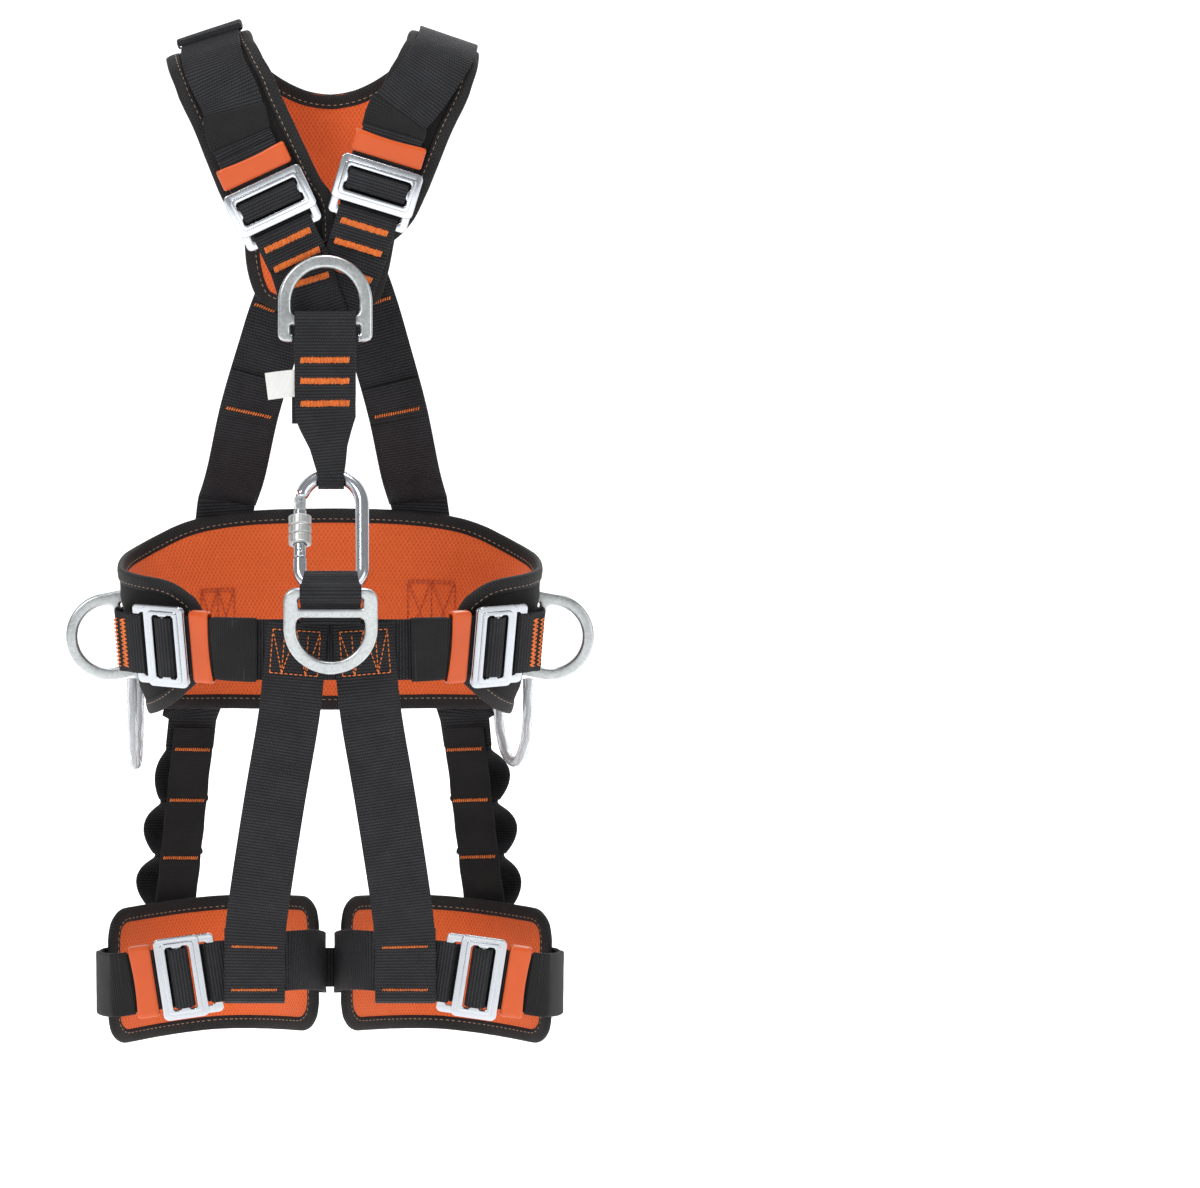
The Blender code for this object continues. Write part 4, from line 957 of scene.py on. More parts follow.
def yoke(sew_tan):
    n = len(YOKE_ROWS)
    path = [Vector((0, row[0], row[1])) for row in YOKE_ROWS]
    rows = []
    for i in range(n - 1):
        p0 = path[i - 1] if i else path[0] * 2 - path[1]
        p3 = path[i + 2] if i < n - 2 else path[n - 1] * 2 - path[n - 2]
        d0 = YOKE_ROWS[max(i - 1, 0)]
        d1, d2 = YOKE_ROWS[i], YOKE_ROWS[i + 1]
        d3 = YOKE_ROWS[min(i + 2, n - 1)]
        per = 8 if i == 6 else 5
        for k in range(per):
            f = k / per
            p = curve_at(p0, path[i], path[i + 1], p3, f)
            if i < 6:
                xi = 0.0
            elif i == 6:
                xi = 48.0 * math.sqrt(f)
            else:
                xi = d1[2] + (d2[2] - d1[2]) * f
            xo = [0.5 * (2 * d1[q] + (d2[q] - d0[q]) * f + (2 * d0[q] - 5 * d1[q] + 4 * d2[q] - d3[q]) * f * f + (3 * d1[q] - d0[q] - 3 * d2[q] + d3[q]) * f ** 3)
                  for q in (3, 4)]
            rows.append((p.y, p.z, xi, xo))
    y, z, xi, *xo = YOKE_ROWS[-1]
    rows.append((y, z, float(xi), xo))
    # the front wings end rounded
    total = len(rows)
    cols = 9
    verts, uv, index, quads = [], [], {}, []
    s = 0.0
    for r, (y, z, xi, both) in enumerate(rows):
        if r:
            s += math.hypot(y - rows[r - 1][0], z - rows[r - 1][1])
        d_end = (total - 1 - r) * 4.5
        d_bot = r * 3.0
        for side in (-1, 1):
            xo = both[side > 0]
            a, b = xi, xo
            if r > total // 2:
                # the right wing laps over the left one below the neck
                lap = 6.0 * ease((350 - z) / 24)
                a, b = xi + side * lap + corner(d_end, 5.0), xo - corner(d_end, 14.0)
            else:
                b = xo - (corner(d_bot, 10.0) * 0.6 if xo < 45 else 0.0)
            for c in range(cols + 1):
                key = (r, 0, 0) if c == 0 and xi == 0 else (r, side, c)
                if key not in index:
                    index[key] = len(verts)
                    x = side * (a + (b - a) * c / cols)
                    verts.append(shoulder(x, y, z))
                    uv.append((x, s))
    for side in (-1, 1):
        def vid(r, c):
            return index[(r, 0, 0)] if c == 0 and rows[r][2] == 0 else index[(r, side, c)]
        for r in range(total - 1):
            for c in range(cols):
                f = (vid(r, c), vid(r, c + 1), vid(r + 1, c + 1), vid(r + 1, c))
                quads.append(f if side > 0 else f[::-1])
    centre = Vector((0, 0, 340))
    pad("yoke", verts, quads, uv, lambda p: Vector((0, p.y - centre.y, max(0.0, p.z - 420) * 0.7)), "back_yoke_pad", 7.0, sew_tan, 0.3)


TAN_SEW = Sewing()
belt_pad(TAN_SEW)
leg_pads(TAN_SEW)
yoke(TAN_SEW)
TAN_SEW.done("binding_stitching", TAN, slot="tan_thread")


# ================================================================ straps
S = {}


def shoulder_straps():
    for side in (-1, 1):
        b = BUCKLES["chest", side]
        layer = 45.2 if side < 0 else 47.6
        ctrl = [b.at(-42, -4.6), b.at(-54, -4.9)]
        front = ((73, -48.8, 408), (84, -41.0, 441), (88, -24.8, 463.5)) if side < 0 else ((62.5, -49.2, 411), (77.0, -41.4, 441), (85.5, -24.8, 463.5))
        for x, y, z in front + ((88, 0, 471.2), (87, 24.8, 463.5), (82.5, 38.2, 446), (75, 42.8, 427), (64, 44.8, 405), (46, layer, 372),
                                (32, layer, 347), (22, layer, 331)):
            ctrl.append(shoulder(side * x, y, z))
        fold = b.bar_fold(tail=41)[:-1]
        path = spline(ctrl, 2)
        wd = [b.w] * len(fold)
        for i, q in enumerate(path):
            level = X - Z * (side * SHOULDER_SLOPE * ease((q.z + 10 - 380) / 70))
            wd.append(b.w.lerp(level.normalized(), min(1.0, max(0.0, (i - 1) / 4))))
        name = side_name(side) + "_shoulder_strap"
        S[name] = Strap("strap_" + name, fold + path, wd, replaces=(name,))


def chest_straps():
    for side in (-1, 1):
        b = BUCKLES["chest", side]
        fold = b.frame_fold()
        layer = -56.2 if side < 0 else -52.6
        x0 = STERNAL_AXIS.x
        ctrl = [fold[-1], Vector((b.at(52, 0).x, layer * 0.7 + 0.3 * fold[-1].y, b.at(52, 0).z)), Vector((x0 + side * 13.0, layer, 268.0)),
                Vector((x0 + side * 6.0, layer, 248.0)), Vector((x0 + side * 1.0, layer, 230.0))]
        path = spline(ctrl, 3)
        wd = [b.w] * (len(fold) - 1) + [b.w.lerp(X, min(1.0, i / 8)) for i in range(len(path))]
        name = side_name(side) + "_chest_strap"
        S[name] = Strap("strap_" + name, fold[:-1] + path, wd, replaces=(name,))


def sternal_strap():
    a, top, rad, r2 = STERNAL_AXIS, CONN_TOP, 6.3, 9.2
    pts, width = [], []

    def add(p, w):
        pts.append(Vector(p))
        width.append(w)

    for i in range(9):
        ang = math.radians(-20 + 220 * i / 8)
        add((a.x, a.y + rad * math.cos(ang), a.z + rad * math.sin(ang)), WEB_W)
    for dx, dy, dz, w in ((0, -6.3, -10, 45), (0, -6.3, -20, 45), (0, -3.6, -34, 45), (0, -4.0, -52, 45), (0.5, -5.5, -72, 44), (2.5, -9.0, -92, 28)):
        add((a.x + dx, a.y + dy, a.z + dz), w)
    for i in range(9):
        ang = math.radians(170 + 215 * i / 8)
        add((top.x, top.y + r2 * math.cos(ang), top.z + r2 * math.sin(ang)), 19.0)
    for dx, dy, dz, w in ((2.5, -6.2, -92, 28), (0.5, -3.3, -72, 44), (0, -1.8, -52, 45), (0, -0.8, -34, 45), (0, 6.3, -20, 45), (0, 6.3, -10, 45)):
        add((a.x + dx, a.y + dy, a.z + dz), w)
    S["sternal"] = Strap("strap_sternal", pts, X, width=width, closed=True, replaces=("sternal_strap",))


def waist_webbing():
    right, left = BUCKLES["waist", -1], BUCKLES["waist", 1]
    turn = ((43.0, -1.9), (45.5, -3.6), (47.5, -6.4), (50.0, -11.0))
    fr, fl = (b.frame_fold(end=43.0) + [b.at(u, n) for u, n in turn] for b in (right, left))
    pts = list(fr)
    wd = [right.w] * len(pts)
    for i in range(31):
        deg = 180 + 9.0 - (180 + 18.0) * i / 30
        y = belt_pt(deg, 0, 0).y
        pts.append(belt_pt(deg, band_z(y), BAND_OFF))
        wd.append(belt_up(deg))
    pts += fl[::-1]
    wd += [left.w] * len(fl)
    S["rear_belt"] = Strap("strap_rear_belt", pts, wd, replaces=("rear_belt_webbing",))
    y = FRONT_BAND_Y
    br, bl = ([Vector((s * 61, y - 3.0, 8.0)), BUCKLES["waist", s].at(-50, -3.4)] + BUCKLES["waist", s].bar_fold(tail=41)[1:] for s in (-1, 1))
    mid = [Vector((x, y + d, 8.0)) for x, d in ((-58, 0.8), (-36, 0.2), (0, 0.0), (36, 0.2), (58, 0.8))]
    S["front_belt"] = Strap("strap_front_belt", br + mid + bl[::-1], [Z] + [right.w] * (len(br) - 1) + [Z] * 5 + [left.w] * (len(bl) - 1) + [Z],
                            replaces=("front_belt_webbing",))


def ventral_loop():
    x = CONN_BOTTOM.x - 0.4
    c, a = CONN_BOTTOM, VENTRAL_AXIS
    rows = [(-112.6, 34.0, 44.0), (-112.4, 45.0, 43.0), (-112.2, 52.0, 40.0)]
    for i in range(6):
        ang = math.radians(10 + 110 * i / 5)
        rows.append((c.y + 8.0 * math.cos(ang), c.z + 8.0 * math.sin(ang) + 0.6 * i % 2, 39.0))
    for i in range(8):
        ang = math.radians(80 + 205 * i / 7)
        rows.append((a.y + 6.4 * math.cos(ang), a.z + 6.4 * math.sin(ang), 43.0 if i == 0 else 45.0))
    rows += [(-125.0, 44.5, 44.0), (-118.0, 38.0, 44.0), (-115.0, 33.0, 44.0), (-114.6, 29.0, 44.0), (-113.6, 27.4, 44.0), (-112.7, 29.0, 44.0)]
    S["ventral"] = Strap("strap_ventral_loop", [Vector((x, yy, z)) for yy, z, _ in rows], X, width=[w for _, _, w in rows], closed=True, replaces=("ventral_loop",), slack=0.9)


def leg_straps():
    for side in (-1, 1):
        b = BUCKLES["leg", side]
        fold = b.frame_fold(end=44.0)
        ctrl = [fold[-1], b.at(60, -1.4), b.at(78, -2.4)]
        ctrl += [Vector((side * x, y, z)) for x, y, z in ((15.5, -61.0, -232.0), (7.6, -36.0, -237.5), (4.4, -16.0, -242.5), (4.1, -5.0, -245.5), (4.6, 2.4, -247.0))]
        for deg in (164, 152, 140, 128, 116, 104, 90, 76, 64, 52, 40, 28, 16):
            ctrl.append(leg_pt(side, deg, 0, LEG_STRAP_OFF))
        rear = b.bar_fold(tail=40)
        ctrl += [Vector((side * x, y, z)) for x, y, z in ((171.6, 2.4, -258.2), (173.4, -8.0, -257.5), (173.2, -28.0, -255.5), (168.5, -52.0, -252.5))] + [b.at(-50, -6.5), rear[-1]]
        path = spline(ctrl, 2)[:-1]
        wd = [b.w] * (len(fold) - 1) + [b.w.lerp(Z, min(1.0, i / 5)) for i in range(len(path))] + [b.w] * len(rear)
        name = side_name(side) + "_leg_strap"
        S[name] = Strap("strap_" + name, fold[:-1] + path + rear[::-1], wd, replaces=(name,))


def thigh_straps():
    for side in (-1, 1):
        n = side
        y0 = FRONT_BAND_Y - WEB_T - GAP - 0.2
        ctrl = [Vector((n * x, y, z)) for x, y, z in ((24, y0, 28), (26, y0, 0), (30, y0 + 0.6, -40), (40, -103, -100), (50, -94.5, -165))]
        ctrl += [Vector((n * 55, -87.2, -204)), Vector((n * 56, -85.4, -230)), Vector((n * 56, -85.0, -250.0))]
        pts = spline(ctrl, 3)
        for y, z in ((-83.8, -257.6), (-79.2, -260.6), (-75.0, -257.4), (-74.2, -248.0), (-74.2, -230.0), (-74.0, -206.0)):
            pts.append(Vector((n * 56, y, z)))
        name = side_name(side) + "_thigh_strap"
        S[name] = Strap("strap_" + name, pts, X, replaces=(name,))


def sheet_strap(name, rows, replaces):
    """Webbing given as rows of points and outward directions across it."""
    verts, uv = [], []
    s = 0.0
    h = WEB_T / 2
    k = len(rows[0][0])
    for i, (pts, normals) in enumerate(rows):
        if i:
            s += (pts[k // 2] - rows[i - 1][0][k // 2]).length
        a = [(j / (k - 1) - 0.5) * WEB_W for j in range(k)]
        prof = [0.25 if j in (0, k - 1) else 1.0 for j in range(k)]
        verts += [p + n * (h * f) for p, n, f in zip(pts, normals, prof)]
        uv += [(s, v) for v in a]
        verts += [p - n * (h * f) for p, n, f in reversed(list(zip(pts, normals, prof)))]
        uv += [(s, v) for v in reversed(a)]
    return make(name, verts, loft_faces(len(rows), 2 * k), WEB, uv, "harness", replaces, "black_webbing", sharp=55)


REAR = {}


def rear_straps():
    across_at = (-1.0, -0.975, -0.75, -0.5, -0.25, 0.0, 0.25, 0.5, 0.75, 0.975, 1.0)
    for side in (-1, 1):
        layer = 47.6 if side < 0 else 45.2
        rows = []
        rear_x = (10, 25, 37, 47, 61, 71.5) if side < 0 else (8, 20, 29, 38, 51, 61)
        ctrl = [Vector((side * x, y, z)) for x, (y, z) in zip(rear_x, ((layer, 294), (layer, 270), (46.8, 245), (49.5, 214), (62, 166), (83, 117)))]
        off = 4.5 + 0.8 + WEB_T / 2
        belt_x = (78, 80, 84, 90, 97, 101) if side < 0 else (67, 69.5, 74.5, 82, 92, 99)
        belt_rows = tuple(zip(belt_x, (92, 78, 50, 5, -38, -62)))
        mids = [belt_pt(belt_deg_at_x(side * x, z), z, off) for x, z in belt_rows]
        path = spline(ctrl + mids[:1], 9)[:-1]
        for i, p in enumerate(path):
            t = (path[min(i + 1, len(path) - 1)] - path[max(i - 1, 0)]).normalized()
            w = (X - t * X.dot(t)).normalized()
            n = w.cross(t).normalized()
            if n.y < 0:
                n = -n
            rows.append(([p + w * (WEB_W / 2 * f) for f in across_at], [n] * len(across_at)))
        fine = []
        for (x0, z0), (x1, z1) in zip(belt_rows, belt_rows[1:]):
            fine += [(x0 + (x1 - x0) * k / 6, z0 + (z1 - z0) * k / 6) for k in range(6)]
        for x, z in fine + [belt_rows[-1]]:
            pts, normals = [], []
            for f in across_at:
                deg = belt_deg_at_x(side * x + WEB_W / 2 * f * 0.96, z)
                pts.append(belt_pt(deg, z - f * side * 3.0 * min(1.0, (92 - z) / 20), off))
                normals.append(belt_normal(deg, z))
            rows.append((pts, normals))
        n = Vector((side * 0.6, 0.8, 0))
        across = Vector((0.8, -side * 0.6, 0))
        start = mids[-1] + n * 1.5 + Vector((0, 0, -10))
        end = leg_pt(side, 70.0, 0, LEG_STRAP_OFF + 3.2)
        last = Vector((end.x, end.y, -240.0))
        end.z = -216.0
        steps = 72
        first = 0.146
        centre = []
        for i in range(steps + 1):
            g = max(0.0, (i / steps - first) / (1 - first)) * 3
            swell = ((10.0, 17.5, 20.0) if side < 0 else (19.0, 20.0, 17.0))[min(2, int(g))]
            # broad crests and narrow valleys, where the tacks hold the webbing down
            s = i / steps - 0.52 * math.sin(2 * math.pi * g) / (2 * math.pi) * (1 - first) / 3
            centre.append(start.lerp(end, s) + n * (swell * math.sin(math.pi * g) ** 2))
        centre.append(last)
        wave_rows = []
        from_belt = (rows[-1][0][-1] - rows[-1][0][0]).normalized()
        for i, p in enumerate(centre):
            t = (centre[min(i + 1, len(centre) - 1)] - centre[max(i - 1, 0)]).normalized()
            turn = from_belt.lerp(across, min(1.0, i / 10))
            w = (turn - t * turn.dot(t)).normalized()
            rows.append(([p + w * (WEB_W / 2 * f) for f in across_at], [w.cross(t)] * len(across_at)))
            wave_rows.append((p, t, w, w.cross(t)))
        REAR[side] = (path, wave_rows, start, end, n, across)
        sheet_strap("strap_" + side_name(side) + "_rear", rows, (side_name(side) + "_rear_strap",))
        e0 = start.lerp(end, 0.04) - n * 3.4
        e1 = start.lerp(end, 1.0) - n * 3.4
        S[side_name(side) + "_elastic"] = Strap("band_" + side_name(side) + "_rear_elastic", [e0.lerp(e1, i / 14) + n * (0.5 * math.sin(i * 2.1)) for i in range(15)],
                                                across, width=38.0, thick=1.4, mat=ELASTIC, slot="black_elastic", replaces=(side_name(side) + "_rear_elastic",))


def ring_loops():
    for side in (-1, 1):
        deg = side_ring_deg(side)
        z = band_z(SIDE_RING_Y)
        axis = belt_pt(deg, z, SIDE_RING_OFF)
        up = belt_up(deg)
        turn = 1 if side > 0 else -1
        flat = BAND_OFF + WEB_T + GAP
        n0 = belt_normal(deg, z)
        n0 = (n0 - up * n0.dot(up)).normalized()
        t0 = up.cross(n0).normalized() * turn
        rad = 4.9
        pts = [belt_pt(deg + s * 0.62 * turn, z, flat + 0.2) for s in (-27.0, -20.5, -14.5)]
        pts += [axis + n0 * (flat + 0.6 - SIDE_RING_OFF) + t0 * -9.6, axis + n0 * (flat + 1.6 - SIDE_RING_OFF) + t0 * -6.6]
        for i in range(9):
            ang = math.radians(176 - 172 * i / 8)
            pts.append(axis + t0 * (rad * math.cos(ang)) + n0 * (rad * math.sin(ang)))
        pts += [axis + n0 * (flat + 1.6 - SIDE_RING_OFF) + t0 * 6.6, axis + n0 * (flat + 0.6 - SIDE_RING_OFF) + t0 * 9.6]
        pts += [belt_pt(deg + s * 0.62 * turn, z, flat + 0.2) for s in (14.5, 20.5, 27.0)]
        name = side_name(side) + "_ring_loop"
        S[name] = Strap("patch_" + name, pts, up, width=44.0, replaces=(name,))


def side_ring_deg(side):
    _, b = belt_ab(0)
    deg = math.degrees(math.asin((SIDE_RING_Y / b) ** (BELT_N / 2)))
    return deg if side > 0 else 180 - deg


def dorsal_loop():
    zb = 259.0
    a = DORSAL_AXIS
    rad = 6.0
    pts = []
    for i in range(7):
        ang = math.radians(-60 + 190 * i / 6)
        pts.append(Vector((0, a.y + rad * math.cos(ang), a.z + rad * math.sin(ang))))
    for y, z in ((59.0, zb + 70.0), (53.5, zb + 68.6), (50.4, zb + 67.2), (50.0, zb + 62.0), (50.4, zb + 56.6), (52.4, zb + 54.8), (58.0, zb + 55.8), (64.0, zb + 58.4)):
        pts.append(Vector((0, y, z)))
    S["dorsal"] = Strap("strap_dorsal_loop", pts, X, width=36.0, closed=True, replaces=("dorsal_loop",))


def crotch_link():
    z = leg_pt(1, 170, 0, 0).z
    y = -10.0
    S["crotch"] = Strap("strap_crotch_link", [Vector((x, y, z)) for x in (-4.3, -2.0, 0, 2.0, 4.3)], Z, width=30.0, thick=3.0, replaces=("crotch_link",), slack=0.0, step=1.0)


shoulder_straps()
chest_straps()
sternal_strap()
waist_webbing()
ventral_loop()
leg_straps()
thigh_straps()
rear_straps()
ring_loops()
dorsal_loop()
crotch_link()


# ================================================================ rings
def ring_outline(b0, slot, cross, r_in, r_out, leg, closed_slot=True, tip=0.0, k=28):
    v2 = b0 + slot + cross
    vc = v2 + leg
    hw = 23.5
    arc = [(r_out * math.cos(math.pi * i / (2 * k)), vc + r_out * math.sin(math.pi * i / (2 * k))) for i in range(2 * k + 1)]
    if closed_slot:
        right = [((r_out, 0.0), 1.25 * b0)]
    else:
        t = b0 + slot
        hook = 0.46 * t
        right = [((r_in + 0.4, t), 1.5), ((r_in + 0.4, hook), 1.5), ((tip, hook), 0.9), ((tip, 0.0), 1.3), ((r_out, 0.0), 8.0)]
    pts = [q for q, _ in right] + arc + [(-q[0], q[1]) for q, _ in reversed(right)]
    outer = rounded(pts, [r for _, r in right] + [0.0] * len(arc) + [r for _, r in reversed(right)], 6)
    bow = [(r_in * math.cos(math.pi * i / (2 * k)), vc + r_in * math.sin(math.pi * i / (2 * k))) for i in range(2 * k + 1)]
    d_hole = bow + [(-r_in + 0.1, v2 + 4.0), (-r_in + 0.9, v2 + 1.6), (-r_in + 3.0, v2), (r_in - 3.0, v2), (r_in - 0.9, v2 + 1.6), (r_in - 0.1, v2 + 4.0)]
    holes = [d_hole]
    if closed_slot:
        holes.append(rrect(-hw, hw, b0, b0 + slot, 1.4, 4))
    return outer, holes


def ring(name, axis_point, v_axis, vdir, wdir, dims, closed_slot=True, tip=0.0):
    vdir = vdir.normalized()
    wdir = (wdir - vdir * wdir.dot(vdir)).normalized()
    ndir = wdir.cross(vdir)
    outer, holes = ring_outline(*dims, closed_slot=closed_slot, tip=tip)
    plate("metal_" + name, outer, holes, axis_point - vdir * v_axis, wdir, vdir, ndir, -RING_T / 2, RING_T / 2, 2.1, ZINC, name, (name,), res=4)


def rings():
    ring("sternal_ring", STERNAL_AXIS, 15.5, Vector((0, 0.12, 1)), X, (0.0, 12.0, 7.0, 25.0, 34.5, 10.0), False, 23.4)
    ring("ventral_ring", VENTRAL_AXIS, 4.0, Vector((0, 0, -1)), X, (8.0, 7.0, 7.0, 25.0, 34.5, 7.0))
    ring("dorsal_ring", DORSAL_AXIS, 12.2, Vector((0, -0.12, 1)), X, (0.0, 8.7, 7.0, 22.0, 32.5, 7.0), False, 19.4)
    for side in (-1, 1):
        deg = side_ring_deg(side)
        axis = belt_pt(deg, band_z(SIDE_RING_Y), SIDE_RING_OFF)
        up = belt_up(deg)
        out = Vector((side, 0, 0)) - up * up.x * side
        ring(side_name(side) + "_side_ring", axis, 2.0, out, up, (4.0, 5.0, 6.0, 24.0, 33.0, 7.0))


rings()


# ================================================================ buckles
def keepers():
    for b in BUCKLES.values():
        p = b.prefix
        iw, wall, n0, n1 = 25.3, 1.9, -6.1, -1.1
        outer = dense_loop(rrect(-iw - wall, iw + wall, n0 - wall, n1 + wall, 2.4, 5))
        inner = dense_loop(rrect(-iw, iw, n0, n1, 0.9, 5), len(outer))
        st = 13
        verts = []

        def end_u(w):
            return -36.0 + 1.0 * max(0.0, 1 - (w / 21.0) ** 2)

        mid = (n0 + n1) / 2
        for i in range(st):
            f = i / (st - 1)
            edge = min(f, 1 - f) * 16.0
            pinch = corner(edge, 0.9)
            for w, h in outer:
                u0 = end_u(w)
                sw = (abs(w) - pinch) / max(abs(w), 1e-3) if abs(w) > 1 else 1.0
                sh = (abs(h - mid) - pinch) / max(abs(h - mid), 1e-3) if abs(h - mid) > 1 else 1.0
                verts.append(b.at(u0 + (-20.0 - u0) * f, mid + (h - mid) * sh, w * sw))
        k = len(outer)
        for i in range(st):
            f = 1 - i / (st - 1)
            for w, h in inner:
                u0 = end_u(w)
                verts.append(b.at(u0 + (-20.0 - u0) * f, h, w))
        faces = loft_faces(2 * st, k, True)
        make("moulded_" + p + "_keeper", verts, faces, ORANGE, None, p + "_keeper", (p + "_keeper",), "orange_plastic", sharp=50)


def dense_loop(loop, count=None):
    """Outline resampled evenly to count points, starting at its first."""
    total = sum(math.hypot(b[0] - a[0], b[1] - a[1]) for a, b in zip(loop, loop[1:] + loop[:1]))
    count = count or int(total / 1.6)
    out = []
    pts = loop + loop[:1]
    seg, run = 0, 0.0
    for i in range(count):
        want = total * i / count
        while True:
            a, b = pts[seg], pts[seg + 1]
            d = math.hypot(b[0] - a[0], b[1] - a[1])
            if run + d >= want or seg == len(pts) - 2:
                break
            run += d
            seg += 1
        f = (want - run) / d if d > 1e-9 else 0.0
        out.append((a[0] + (b[0] - a[0]) * f, a[1] + (b[1] - a[1]) * f))
    return out


def buckles():
    for b in BUCKLES.values():
        p = b.prefix
        slot = []
        for sgn in (1, -1):
            e = [(9.0, 20.6), (9.0, 22.4), (7.6, 24.0), (4.4, 24.0), (3.2, 22.8), (2.6, 21.4), (-2.6, 21.4), (-3.2, 22.8), (-4.4, 24.0), (-7.6, 24.0), (-9.0, 22.4), (-9.0, 20.6)]
            slot += [(sgn * u, sgn * w) for u, w in e]
        c = b.u.cross(b.w)
        sg = 1.0 if c.dot(b.n) > 0 else -1.0
        plate("metal_" + p + "_plate", rrect(-17, 17, -31, 31, 4.2, 6), [slot], b.c, b.u, b.w, c, *sorted((sg * 1.6, sg * 4.0)), 0.75, BRIGHT, "harness", (p + "_buckle_plate",))
        rim = rrect(-12.6, 12.6, -27.2, 27.2, 3.0, 5)
        plate("metal_" + p + "_rim", rim, [slot], b.c, b.u, b.w, c, *sorted((sg * 3.4, sg * 5.0)), 0.7, BRIGHT)
        plate("metal_" + p + "_frame", rrect(-16.5, 28.0, -30, 30, 4.0, 6), [rrect(-11, 22, -24, 24, 2, 4)], b.c, b.u, b.w, c, *sorted((sg * -1.4, sg * 1.0)), 0.75, BRIGHT,
              "harness", (p + "_buckle_frame",))
        verts, k, m = [], 40, 25
        for i in range(m):
            w = -23.5 + 47.0 * i / (m - 1)
            r = 2.8 - (0.7 if i in (0, m - 1) else 0.0)
            for j in range(k):
                ang = math.tau * j / k
                rr = r - (0.22 if j % 4 == 0 else 0.0)
                verts.append(b.at(rr * math.cos(ang), 2.8 + rr * math.sin(ang), w))
        make("metal_" + p + "_bar", verts, loft_faces(m, k), ZINC, None, p + "_slider_bar", (p + "_slider_bar",), "zinc_steel", sharp=30)


buckles()
keepers()


